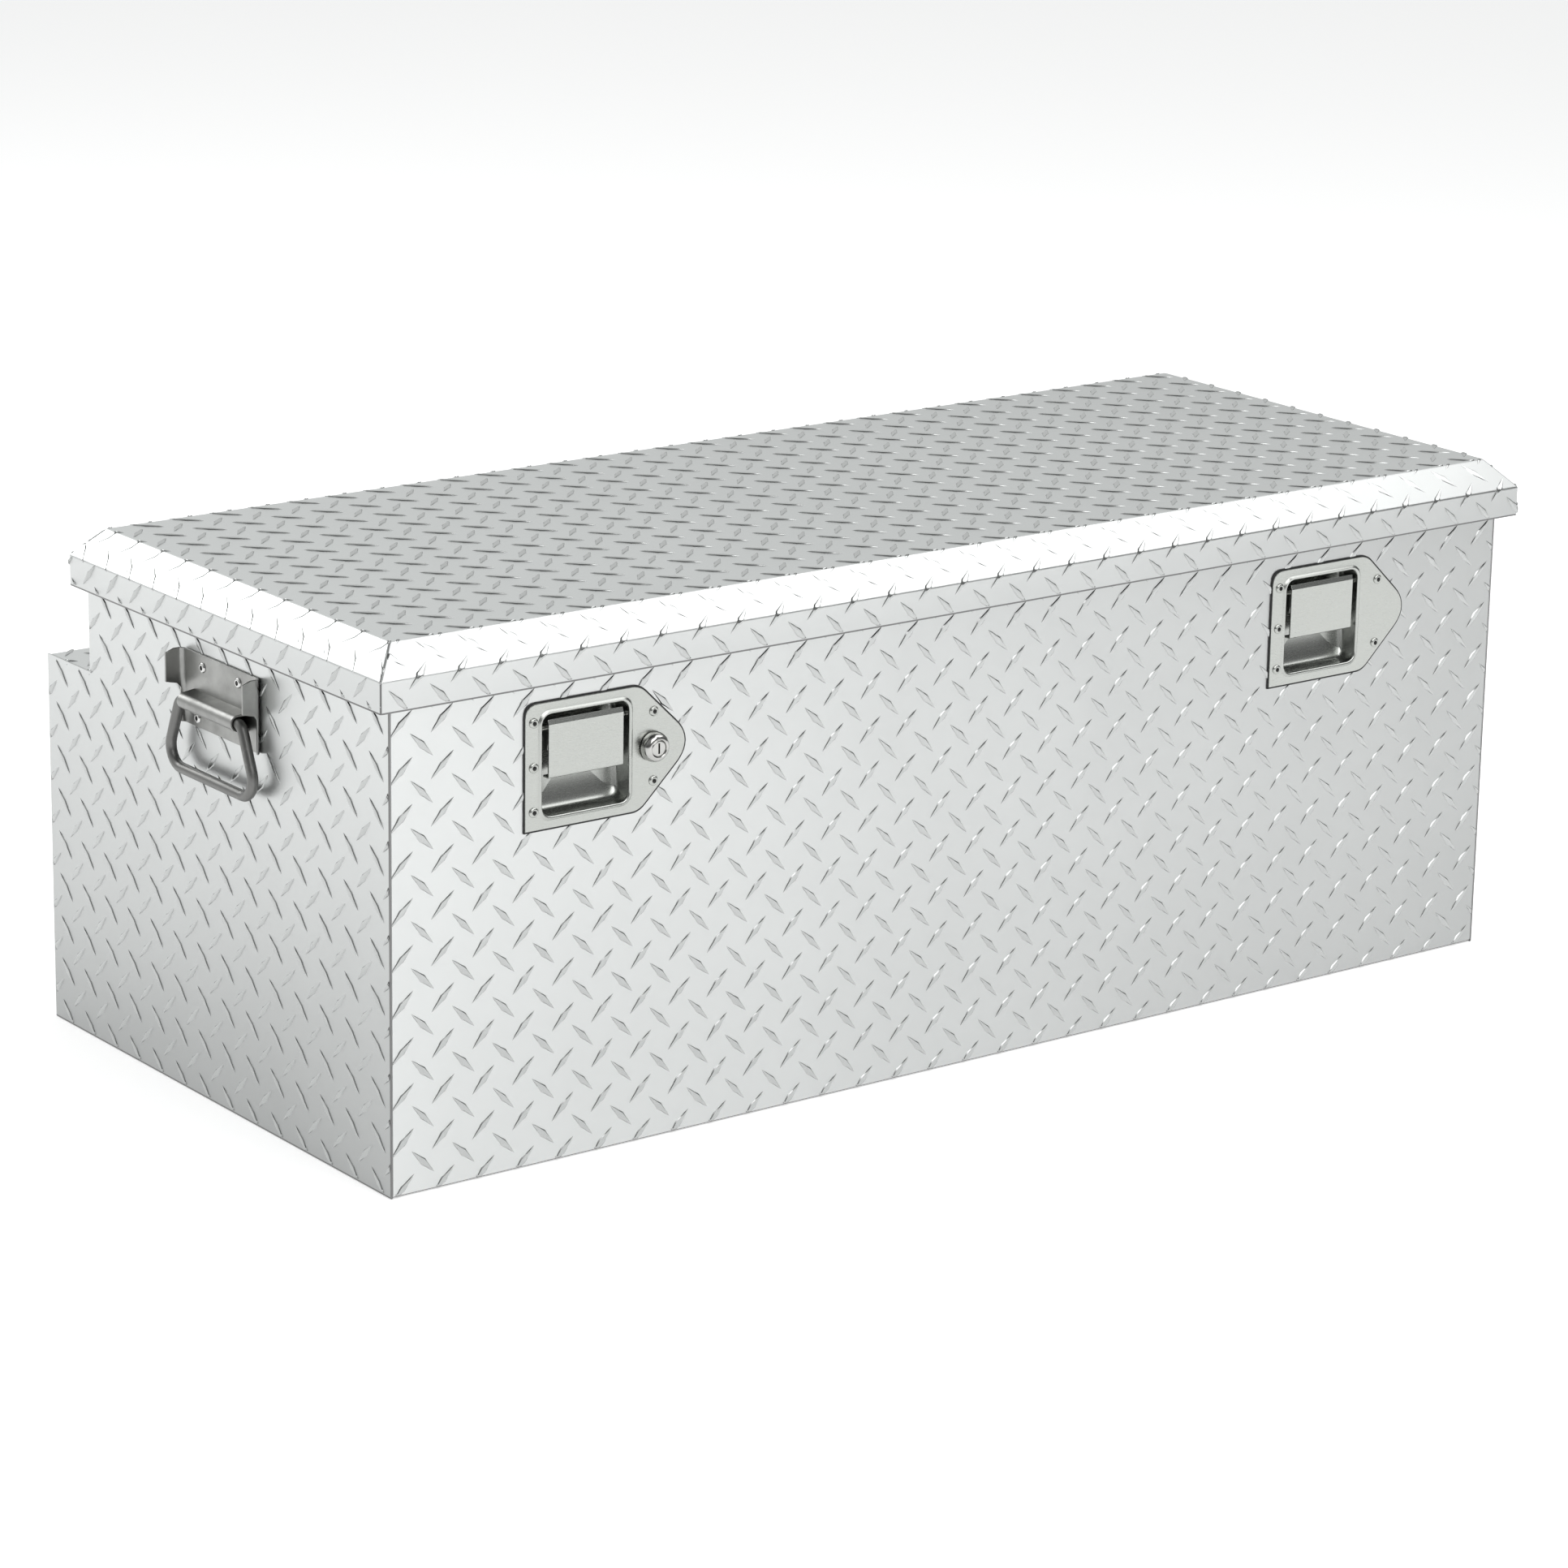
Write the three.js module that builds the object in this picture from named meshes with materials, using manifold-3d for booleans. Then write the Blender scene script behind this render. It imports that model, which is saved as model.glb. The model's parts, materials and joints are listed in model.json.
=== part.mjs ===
// A truck tool box: a tread-plate chest with a notch along its top rear edge, a hinged lid
// on gas struts, two flush paddle latches and a drop handle on each end.
// Millimetres. X runs along the box, the front faces -Y, +Z is up, and the origin is at the
// bottom centre of the whole object's bounding box.
import * as THREE from "three";
import { mergeVertices } from "three/addons/utils/BufferGeometryUtils.js";
import Module from "manifold-3d";

const wasm = await Module();
wasm.setup();

// Driving dimensions: the chest
const LENGTH = 1219;
const DEPTH = 559;
const LEDGE_DEPTH = 75;
const LEDGE_Z = 338;
const RIM_Z = 440;
const SHEET = 1.6;
const BEND = 2.6; // centreline radius of every sheet bend
const FLANGE = 20; // width of the rim's inward flange
const FLANGE_LIP = 8; // the flange's turned-down edge
const GAP = 0.3; // between pieces that bear on each other

// Driving dimensions: the lid
const SKIRT_Z = 418;
const BEVEL_Z = 445;
const TOP_Z = 470;
const BEVEL_RUN = 24;
const FRONT_OVERHANG = 13;
const END_OVERHANG = 16;
const REAR_OVERHANG = 4;
const RIB_X = 205;
const RIB_INSET = 34; // from the chest's front and upper rear to each end of a rib

// Driving dimensions: the hinge and the gas struts
const HINGE_R = 4;
const HINGE_PIN_R = 1.9;
const HINGE_SEGMENTS = 12;
const HINGE_SPAN = 1176;
const HINGE_LEAF = 32;
const STRUT_X = 575;
const STRUT_BODY_Z = 300;
const STRUT_BODY_BACK = 95; // body pivot, forward of the hinge axis
const STRUT_LID_Z = 445;
const STRUT_LID_BACK = 105; // lid pivot, forward of the hinge axis
const SOCKET = 7; // radius of the strut's end sockets
const STRUT_TUBE_R = 9;
const STRUT_ROD_R = 4;
const STRUT_STUD = 11; // from the strut's centreline to the lid bracket's face
const STRUT_NECK_R = 4.7;

// Driving dimensions: the paddle latches, in the wall's own axes: u right, v up, w outwards
const LATCH_LEFT_X = -479.5; // left edge of the left plate
const LATCH_RIGHT_X = 333.5; // left edge of the right plate
const LATCH_Z = 347;
const PLATE_LENGTH = 160;
const PLATE_HEIGHT = 108;
const PLATE_W = 1.6; // back of the plate above the wall's face
const PLATE_T = 1.6;
const WELL_U = 16;
const WELL_SIZE = 87;
const WELL_CORNER = 9;
const WELL_DEPTH = 20;
const WELL_T = 1.5;
const PADDLE_U = [23, 97.5];
const PADDLE_V = [-11, 34];
const PIVOT_V = 30;
const PIVOT_W = -5;
const BOLT_U = 60;
const BOLT_V = 17;
const BOLT_TIP_W = -61.5;
const LOCK_U = 127;
const LOCK_BORE_R = 10;
const LOCK_PLUG_R = 7;
const LATCH_RIVETS = [[8, -38], [8, 0], [8, 38], [128, -30], [128, 30]];
const RIVET_HOLE_R = 2.8;
const DRILL = 10; // how far a hole's cutter reaches on each side of the wall

// Driving dimensions: the end handles, in the same kind of axes about the bail's pivot line
const HANDLE_BACK = 258; // from the chest's front face
const HANDLE_Z = 357;
const BRACKET_HALF = 63.5;
const BRACKET_V = [-24, 41];
const BAIL_W = 12;
const ROD_R = 4.75;
const HANDLE_RIVETS = [[-29, 30], [29, 30], [-38, -16], [38, -16]];
const BRACKET_T = 1.8;
const STRAP_HALF = 44; // half the length of the strap over the bail's bar
const STRAP_PLAY = 0.6;
const BAIL_CORNERS = [[-50, 0], [50, 0], [75, -61], [-75, -61]];
const BAIL_REACH = [9.9, 9.9, 17.6, 17.6]; // how far each corner's bend runs along its sides

const HALF = LENGTH / 2;
const FRONT_Y = -(DEPTH + FRONT_OVERHANG) / 2 + FRONT_OVERHANG;
const REAR_Y = FRONT_Y + DEPTH;
const UPPER_REAR_Y = REAR_Y - LEDGE_DEPTH;
const HINGE_Y = UPPER_REAR_Y + GAP + HINGE_R;
const HINGE_Z = SKIRT_Z - HINGE_R - 3;

const finish = (color, roughness, metalness = 1) =>
  new THREE.MeshStandardMaterial({ color, roughness, metalness });
const TREAD = finish(0xdadddc, 0.32);
const ALUMINIUM = finish(0xc9cccb, 0.45);
const STAINLESS = finish(0xc4c6c3, 0.28);
const CHROME = finish(0xe4e6e6, 0.1);
const ZINC = finish(0x6d706e, 0.42);
const BLACK_PAINT = finish(0x1b1c1d, 0.4, 0.1);
const RUBBER = finish(0x161616, 0.8, 0);

const root = new THREE.Group();

// ---- Solids ----------------------------------------------------------------------------

function solidOf(geometry) {
  const bare = geometry.clone();
  bare.deleteAttribute("normal");
  bare.deleteAttribute("uv");
  const merged = mergeVertices(bare, 1e-4);
  const mesh = new wasm.Mesh({
    numProp: 3,
    vertProperties: merged.attributes.position.array,
    triVerts: new Uint32Array(merged.index.array),
  });
  return new wasm.Manifold(mesh);
}

function geometryOf(solid) {
  const mesh = solid.getMesh();
  const geometry = new THREE.BufferGeometry();
  geometry.setAttribute("position", new THREE.BufferAttribute(mesh.vertProperties, 3));
  geometry.setIndex(new THREE.BufferAttribute(mesh.triVerts, 1));
  geometry.computeVertexNormals();
  return geometry;
}

function combine(pieces, holes = []) {
  let solid = solidOf(pieces[0]);
  for (const piece of pieces.slice(1)) solid = solid.add(solidOf(piece));
  for (const hole of holes) solid = solid.subtract(solidOf(hole));
  return geometryOf(solid);
}

function addMesh(group, name, geometry, material) {
  const mesh = new THREE.Mesh(geometry, material);
  mesh.name = name;
  group.add(mesh);
  return mesh;
}

function box(lowX, lowY, lowZ, highX, highY, highZ) {
  const geometry = new THREE.BoxGeometry(highX - lowX, highY - lowY, highZ - lowZ);
  return geometry.translate((lowX + highX) / 2, (lowY + highY) / 2, (lowZ + highZ) / 2);
}

// A cylinder from one height to another along the local Z axis.
function rod(radius, low, high, sides = 16) {
  const geometry = new THREE.CylinderGeometry(radius, radius, high - low, sides);
  return geometry.rotateX(Math.PI / 2).translate(0, 0, (low + high) / 2);
}

// A shape drawn in two axes and extruded along the third, each named by its letter.
const PLANES = {
  yz: new THREE.Matrix4().set(0, 0, 1, 0, 1, 0, 0, 0, 0, 1, 0, 0, 0, 0, 0, 1),
  zx: new THREE.Matrix4().set(0, 1, 0, 0, 0, 0, 1, 0, 1, 0, 0, 0, 0, 0, 0, 1),
  xy: new THREE.Matrix4(),
};
function extrude(shape, plane, low, high, curveSegments = 4) {
  const options = { depth: high - low, bevelEnabled: false, curveSegments };
  const geometry = new THREE.ExtrudeGeometry(shape, options).translate(0, 0, low);
  return geometry.applyMatrix4(PLANES[plane]);
}

function polygon(points) {
  return new THREE.Shape(points.map(([a, b]) => new THREE.Vector2(a, b)));
}

// The section of a bent sheet: its centreline with rounded bends, given the sheet's thickness.
function bentSheet(points, thickness = SHEET, bend = BEND, steps = 3) {
  const corners = points.map(([a, b]) => new THREE.Vector2(a, b));
  const centre = [corners[0]];
  for (let i = 1; i < corners.length - 1; i++) {
    const before = corners[i - 1].clone().sub(corners[i]).normalize();
    const after = corners[i + 1].clone().sub(corners[i]).normalize();
    const half = Math.acos(before.dot(after)) / 2;
    const bisector = before.clone().add(after).normalize();
    const pivot = corners[i].clone().addScaledVector(bisector, bend / Math.sin(half));
    const start = corners[i].clone().addScaledVector(before, bend / Math.tan(half));
    const end = corners[i].clone().addScaledVector(after, bend / Math.tan(half));
    const from = start.sub(pivot);
    const sweep = Math.atan2(from.cross(end.clone().sub(pivot)), from.dot(end.clone().sub(pivot)));
    for (let step = 0; step <= steps; step++) {
      const spoke = from.clone().rotateAround(new THREE.Vector2(), (sweep * step) / steps);
      centre.push(pivot.clone().add(spoke));
    }
  }
  centre.push(corners.at(-1));
  const left = [];
  const right = [];
  centre.forEach((point, i) => {
    const back = centre[Math.max(i - 1, 0)];
    const ahead = centre[Math.min(i + 1, centre.length - 1)];
    const along = ahead.clone().sub(back).normalize();
    const side = new THREE.Vector2(-along.y, along.x).multiplyScalar(thickness / 2);
    left.push(point.clone().add(side));
    right.unshift(point.clone().sub(side));
  });
  const outline = left.concat(right);
  if (THREE.ShapeUtils.isClockWise(outline)) outline.reverse();
  return new THREE.Shape(outline);
}

// A closed skin through rectangular rings, each given by its inset from the rectangle and its
// height. The ends are capped, or joined to each other when the rings run in a loop.
function rings(rectangle, profile, loop) {
  const [lowX, lowY, highX, highY] = rectangle;
  const positions = [];
  for (const [inset, z] of profile) {
    positions.push(lowX + inset, lowY + inset, z, highX - inset, lowY + inset, z);
    positions.push(highX - inset, highY - inset, z, lowX + inset, highY - inset, z);
  }
  const index = [];
  const count = profile.length;
  for (let ring = 0; ring < (loop ? count : count - 1); ring++) {
    for (let corner = 0; corner < 4; corner++) {
      const a = ring * 4 + corner;
      const b = ring * 4 + ((corner + 1) % 4);
      const c = ((ring + 1) % count) * 4 + ((corner + 1) % 4);
      const d = ((ring + 1) % count) * 4 + corner;
      index.push(a, b, c, a, c, d);
    }
  }
  if (!loop) {
    const top = (count - 1) * 4;
    index.push(0, 2, 1, 0, 3, 2, top, top + 1, top + 2, top, top + 2, top + 3);
  }
  const geometry = new THREE.BufferGeometry();
  geometry.setAttribute("position", new THREE.Float32BufferAttribute(positions, 3));
  geometry.setIndex(index);
  return geometry;
}

function roundedRectangle(lowU, lowV, highU, highV, radius) {
  const shape = new THREE.Shape();
  shape.moveTo(lowU + radius, lowV);
  shape.lineTo(highU - radius, lowV);
  shape.absarc(highU - radius, lowV + radius, radius, -Math.PI / 2, 0);
  shape.lineTo(highU, highV - radius);
  shape.absarc(highU - radius, highV - radius, radius, 0, Math.PI / 2);
  shape.lineTo(lowU + radius, highV);
  shape.absarc(lowU + radius, highV - radius, radius, Math.PI / 2, Math.PI);
  shape.lineTo(lowU, lowV + radius);
  shape.absarc(lowU + radius, lowV + radius, radius, Math.PI, Math.PI * 1.5);
  return shape;
}

// ---- Chest -----------------------------------------------------------------------------

// The front and end walls' own axes: a group with u along the wall, v up and w outwards.
function wallGroup(x, y, z, turn) {
  const wall = new THREE.Group();
  wall.position.set(x, y, z);
  wall.rotation.set(Math.PI / 2, 0, turn, "ZYX");
  root.add(wall);
  return wall;
}

const mid = SHEET / 2;

function chestSection() {
  const front = FRONT_Y + mid;
  const rear = REAR_Y - mid;
  const upperRear = UPPER_REAR_Y - mid;
  const rim = RIM_Z - mid;
  const flange = FLANGE - mid;
  return bentSheet([
    [front + flange, rim - FLANGE_LIP], [front + flange, rim], [front, rim],
    [front, mid], [rear, mid], [rear, LEDGE_Z - mid],
    [upperRear, LEDGE_Z - mid], [upperRear, rim],
    [upperRear - flange, rim], [upperRear - flange, rim - FLANGE_LIP],
  ]);
}

function rivetCutters(spots) {
  return spots.map(([u, v]) => rod(RIVET_HOLE_R, -DRILL, DRILL, 10).translate(u, v, 0));
}

function lockCutter() {
  return rod(LOCK_BORE_R, -DRILL, DRILL, 20).translate(LOCK_U, 0, 0);
}

// What a latch needs cut out of the front wall, in the wall's axes.
const WELL_CLEARANCE = 1.2;
function wallCuts(hasLock) {
  const grow = WELL_T + WELL_CLEARANCE;
  const halfWell = WELL_SIZE / 2 + grow;
  const window = roundedRectangle(
    WELL_U - grow, -halfWell, WELL_U + WELL_SIZE + grow, halfWell, WELL_CORNER + grow,
  );
  const cuts = [extrude(window, "xy", -DRILL, DRILL, 3), ...rivetCutters(LATCH_RIVETS)];
  if (hasLock) cuts.push(lockCutter());
  return cuts;
}

function inWall(geometry, x, y, z, turn) {
  return geometry.rotateX(Math.PI / 2).rotateZ(turn).translate(x, y, z);
}

function buildChest() {
  const wrapHalf = HALF - SHEET - GAP;
  const wrap = extrude(chestSection(), "yz", -wrapHalf, wrapHalf);
  const cuts = [
    ...wallCuts(true).map((cut) => inWall(cut, LATCH_LEFT_X, FRONT_Y, LATCH_Z, 0)),
    ...wallCuts(false).map((cut) => inWall(cut, LATCH_RIGHT_X, FRONT_Y, LATCH_Z, 0)),
  ];
  addMesh(root, "body_wrap", combine([wrap], cuts), TREAD);

  const side = polygon([
    [FRONT_Y, 0], [REAR_Y, 0], [REAR_Y, LEDGE_Z], [UPPER_REAR_Y, LEDGE_Z],
    [UPPER_REAR_Y, RIM_Z], [FRONT_Y, RIM_Z],
  ]);
  for (const [name, sign] of [["left", -1], ["right", 1]]) {
    const outer = sign * HALF;
    const inner = outer - sign * SHEET;
    const lip = outer - sign * FLANGE;
    const [low, high] = [Math.min(outer, inner), Math.max(outer, inner)];
    const flangeLow = FRONT_Y + FLANGE + GAP;
    const flangeHigh = UPPER_REAR_Y - FLANGE - GAP;
    const plate = extrude(side, "yz", low, high);
    const flange = box(
      Math.min(lip, inner), flangeLow, RIM_Z - SHEET, Math.max(lip, inner), flangeHigh, RIM_Z,
    );
    const holes = rivetCutters(HANDLE_RIVETS).map((cutter) =>
      inWall(cutter, outer, FRONT_Y + HANDLE_BACK, HANDLE_Z, (sign * Math.PI) / 2));
    addMesh(root, `end_panel_${name}`, combine([plate, flange], holes), TREAD);
  }

  const bulb = [[5, 0], [17, 0], [17, 7], [15, 10.5], [11, 12], [7, 10.5], [5, 7]];
  const seat = RIM_Z + GAP;
  const seal = rings([-HALF, FRONT_Y, HALF, UPPER_REAR_Y],
    bulb.map(([inset, height]) => [inset, seat + height]), true);
  seal.index.array.reverse();
  addMesh(root, "rim_seal", geometryOf(solidOf(seal)), RUBBER);
}

// ---- Lid -------------------------------------------------------------------------------

const LID = [-HALF - END_OVERHANG, FRONT_Y - FRONT_OVERHANG,
  HALF + END_OVERHANG, UPPER_REAR_Y + REAR_OVERHANG];
const LID_UNDERSIDE = TOP_Z - SHEET;

function buildLid() {
  const slope = Math.atan2(TOP_Z - BEVEL_Z, BEVEL_RUN);
  const shoulder = SHEET * Math.tan(Math.PI / 4 - slope / 2);
  const crest = SHEET * Math.tan(slope / 2);
  addMesh(root, "lid_skin", rings(LID, [
    [BEVEL_RUN + crest, LID_UNDERSIDE], [SHEET, BEVEL_Z - shoulder], [SHEET, SKIRT_Z],
    [0, SKIRT_Z], [0, BEVEL_Z], [BEVEL_RUN, TOP_Z],
  ], false), TREAD);

  const ribTop = LID_UNDERSIDE - GAP - mid;
  const [ribDrop, crown, foot] = [12, 18, 14];
  for (const [name, x] of [["left", -RIB_X], ["right", RIB_X]]) {
    const hat = bentSheet([
      [ribTop, x - crown - foot], [ribTop, x - crown], [ribTop - ribDrop, x - crown],
      [ribTop - ribDrop, x + crown], [ribTop, x + crown], [ribTop, x + crown + foot],
    ]);
    const rib = extrude(hat, "zx", FRONT_Y + RIB_INSET, UPPER_REAR_Y - RIB_INSET);
    addMesh(root, `lid_rib_${name}`, geometryOf(solidOf(rib)), ALUMINIUM);
  }
}

// ---- Hinge: two leaves with alternate knuckles on one long pin ---------------------------

function knuckles(parity, tabLowZ, tabHighZ, tabLowY, tabHighY) {
  const pitch = HINGE_SPAN / HINGE_SEGMENTS;
  const pieces = [];
  const bores = [];
  for (let i = parity; i < HINGE_SEGMENTS; i += 2) {
    const low = -HINGE_SPAN / 2 + i * pitch + GAP;
    const high = low + pitch - 2 * GAP;
    const tube = rod(HINGE_R, low, high, 12).rotateY(Math.PI / 2);
    pieces.push(tube.translate(0, HINGE_Y, HINGE_Z));
    pieces.push(box(low, tabLowY, tabLowZ, high, tabHighY, tabHighZ));
    const bore = rod(HINGE_PIN_R + 0.3, low - 1, high + 1, 12).rotateY(Math.PI / 2);
    bores.push(bore.translate(0, HINGE_Y, HINGE_Z));
  }
  return [pieces, bores];
}

function buildHinge() {
  const end = HINGE_SPAN / 2;
  const wall = UPPER_REAR_Y + GAP;
  const clear = HINGE_R + 1;
  const leafFoot = HINGE_Z - HINGE_LEAF;
  const [bodyKnuckles, bodyBores] = knuckles(0, leafFoot, HINGE_Z, wall, wall + SHEET);
  const bodyPlate = box(-end, wall, leafFoot, end, wall + SHEET, HINGE_Z - clear);
  addMesh(root, "hinge_leaf_body",
    combine([bodyPlate, ...bodyKnuckles], bodyBores), STAINLESS);

  const skirt = UPPER_REAR_Y + REAR_OVERHANG + GAP;
  const leafHead = HINGE_Z + HINGE_LEAF;
  const [lidKnuckles, lidBores] = knuckles(1, HINGE_Z, leafHead, skirt, skirt + SHEET);
  const lidPlate = box(-end, skirt, HINGE_Z + clear, end, skirt + SHEET, leafHead);
  addMesh(root, "hinge_leaf_lid",
    combine([lidPlate, ...lidKnuckles], lidBores), STAINLESS);

  const pin = rod(HINGE_PIN_R, -end, end, 12).rotateY(Math.PI / 2);
  addMesh(root, "hinge_pin", pin.translate(0, HINGE_Y, HINGE_Z), CHROME);
}

// ---- Gas struts --------------------------------------------------------------------------

function buildStruts() {
  const bodyPivot = new THREE.Vector2(HINGE_Y - STRUT_BODY_BACK, STRUT_BODY_Z);
  const lidPivot = new THREE.Vector2(HINGE_Y - STRUT_LID_BACK, STRUT_LID_Z);
  const span = lidPivot.clone().sub(bodyPivot);
  const length = span.length();
  const cylinderTop = length - 20;
  const tube = new THREE.LatheGeometry([
    [0, SOCKET - 2], [STRUT_TUBE_R, SOCKET - 2], [STRUT_TUBE_R, cylinderTop],
    [STRUT_NECK_R, cylinderTop], [STRUT_NECK_R, 14], [0, 14],
  ].map(([r, h]) => new THREE.Vector2(r, h)), 16);
  const bearing = () => new THREE.CylinderGeometry(SOCKET, SOCKET, 2 * SOCKET, 16)
    .rotateZ(Math.PI / 2);

  for (const [name, sign] of [["left", -1], ["right", 1]]) {
    const strut = new THREE.Group();
    strut.position.set(sign * STRUT_X, bodyPivot.x, bodyPivot.y);
    strut.rotation.x = span.angle() - Math.PI / 2;
    root.add(strut);
    addMesh(strut, `strut_cylinder_${name}`,
      combine([bearing(), tube.clone().rotateX(Math.PI / 2)]), BLACK_PAINT);
    const stud = rod(STRUT_ROD_R, SOCKET - 1, STRUT_STUD, 12).rotateY((-sign * Math.PI) / 2);
    const rodPiece = combine([
      rod(STRUT_ROD_R, 17, length, 12), bearing().translate(0, 0, length), stud.translate(0, 0, length),
    ]);
    addMesh(strut, `strut_rod_${name}`, rodPiece, CHROME);

    const wall = HALF - SHEET - GAP;
    const foot = new THREE.Vector3(sign * wall, bodyPivot.x, bodyPivot.y);
    const plate = box(-1, -20, -15, 1, 20, 15).translate(foot.x - sign, foot.y, foot.z);
    const reach = wall - STRUT_X - SOCKET - GAP;
    const ball = rod(5, 1, reach, 12).rotateY((-sign * Math.PI) / 2);
    addMesh(root, `strut_bracket_body_${name}`,
      combine([plate, ball.translate(foot.x, foot.y, foot.z)]), ZINC);

    const inner = sign * (STRUT_X - STRUT_STUD - GAP);
    const top = LID_UNDERSIDE - GAP;
    const angle = bentSheet([
      [STRUT_LID_Z - 14, inner - sign], [top - 1, inner - sign], [top - 1, inner - sign * 24],
    ], 2, 2);
    addMesh(root, `strut_bracket_lid_${name}`,
      geometryOf(solidOf(extrude(angle, "zx", lidPivot.x - 22, lidPivot.x + 22))), ZINC);
  }
}

// ---- Paddle latches ----------------------------------------------------------------------

// The plate's outline, grown by a margin: square at the left, pointed at the right.
function plateOutline(margin) {
  const half = PLATE_HEIGHT / 2 + margin;
  const slant = margin * Math.tan(Math.PI / 8);
  const outline = new THREE.Shape();
  outline.moveTo(-margin, -half);
  outline.lineTo(106 + slant, -half);
  outline.quadraticCurveTo(114 + slant, -half, 120 + slant, -half + 6);
  outline.lineTo(150 + margin, -19 - slant);
  outline.quadraticCurveTo(PLATE_LENGTH + margin, -10, PLATE_LENGTH + margin, 0);
  outline.quadraticCurveTo(PLATE_LENGTH + margin, 10, 150 + margin, 19 + slant);
  outline.lineTo(120 + slant, half - 6);
  outline.quadraticCurveTo(114 + slant, half, 106 + slant, half);
  outline.lineTo(12 - margin, half);
  outline.quadraticCurveTo(-margin, half, -margin, half - 12);
  return outline;
}

// The drawn well, grown by a margin: its section has a rounded back and a sweeping floor.
function wellSolid(margin, mouth) {
  const half = WELL_SIZE / 2 + margin;
  const back = -(WELL_DEPTH + margin);
  const section = new THREE.Shape();
  section.moveTo(half, mouth);
  section.lineTo(half, back + 8);
  section.quadraticCurveTo(half, back, half - 8, back);
  section.lineTo(-8, back);
  section.bezierCurveTo(-28, back, -half, back + 12, -half, -2);
  section.lineTo(-half, mouth);
  const length = [WELL_U - margin, WELL_U + WELL_SIZE + margin];
  const swept = extrude(section, "yz", length[0], length[1], 6);
  const window = roundedRectangle(length[0], -half, length[1], half, WELL_CORNER + margin);
  const mask = extrude(window, "xy", back - 1, mouth, 4);
  return solidOf(swept).intersect(solidOf(mask));
}

function addRivets(group, prefix, spots, seat, material) {
  const profile = [[0, -6], [2.3, -6], [2.3, 0], [4.6, 0], [4.4, 0.8], [3, 1.9], [0, 2.2]];
  spots.forEach(([u, v], i) => {
    const rivet = new THREE.LatheGeometry(profile.map(([r, h]) => new THREE.Vector2(r, h)), 12);
    rivet.rotateX(Math.PI / 2).translate(u, v, seat + GAP);
    addMesh(group, `${prefix}_rivet_${i + 1}`, rivet, material);
  });
}

function buildPlate(latch, name, hasLock) {
  const face = PLATE_W + PLATE_T;
  let plate = solidOf(extrude(plateOutline(0), "xy", PLATE_W, face, 5));
  plate = plate.add(wellSolid(WELL_T, face)).subtract(wellSolid(0, face + 1));
  const slot = box(BOLT_U - 6.5, BOLT_V - 5, -30, BOLT_U + 6.5, BOLT_V + 5, -10);
  plate = plate.subtract(solidOf(slot));
  for (const cutter of rivetCutters(LATCH_RIVETS)) plate = plate.subtract(solidOf(cutter));
  let gasket = solidOf(extrude(plateOutline(1.5), "xy", GAP, PLATE_W - GAP, 5));
  const grow = WELL_T + WELL_CLEARANCE;
  gasket = gasket.subtract(solidOf(box(WELL_U - grow, -WELL_SIZE / 2 - grow, -1,
    WELL_U + WELL_SIZE + grow, WELL_SIZE / 2 + grow, 3)));
  for (const cutter of rivetCutters(LATCH_RIVETS)) gasket = gasket.subtract(solidOf(cutter));
  if (hasLock) {
    const bore = solidOf(lockCutter());
    plate = plate.subtract(bore);
    gasket = gasket.subtract(bore);
  }
  addMesh(latch, `latch_plate_${name}`, geometryOf(plate), STAINLESS);
  addMesh(latch, `latch_gasket_${name}`, geometryOf(gasket), RUBBER);
  addRivets(latch, `latch_${name}`, LATCH_RIVETS, face, STAINLESS);
}

function buildPaddle(latch, name) {
  const [lowU, highU] = PADDLE_U;
  const [lowV, highV] = PADDLE_V;
  const cheek = 2;
  const cheekLine = polygon([[highV, 1.6], [PIVOT_V - 18, 1.6], [PIVOT_V - 18, -12],
    [PIVOT_V - 4, -12], [highV, -8]]);
  const lip = bentSheet([[highV, 1.6], [lowV, 1.6], [lowV, -5]], 2, 3);
  const web = (low, high) => box(low, 12, -12, high, 22, -10);
  const pieces = [
    extrude(lip, "yz", lowU, highU),
    extrude(cheekLine, "yz", lowU, lowU + cheek),
    extrude(cheekLine, "yz", highU - cheek, highU),
    web(lowU, BOLT_U - 7),
    web(BOLT_U + 7, highU),
  ];
  const bore = rod(2.5, lowU - 1, highU + 1, 12).rotateY(Math.PI / 2);
  addMesh(latch, `latch_paddle_${name}`,
    combine(pieces, [bore.translate(0, PIVOT_V, PIVOT_W)]), STAINLESS);
  const pin = rod(2.1, WELL_U + GAP, WELL_U + WELL_SIZE - GAP, 12).rotateY(Math.PI / 2);
  addMesh(latch, `latch_pin_${name}`, pin.translate(0, PIVOT_V, PIVOT_W), CHROME);
}

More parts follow.
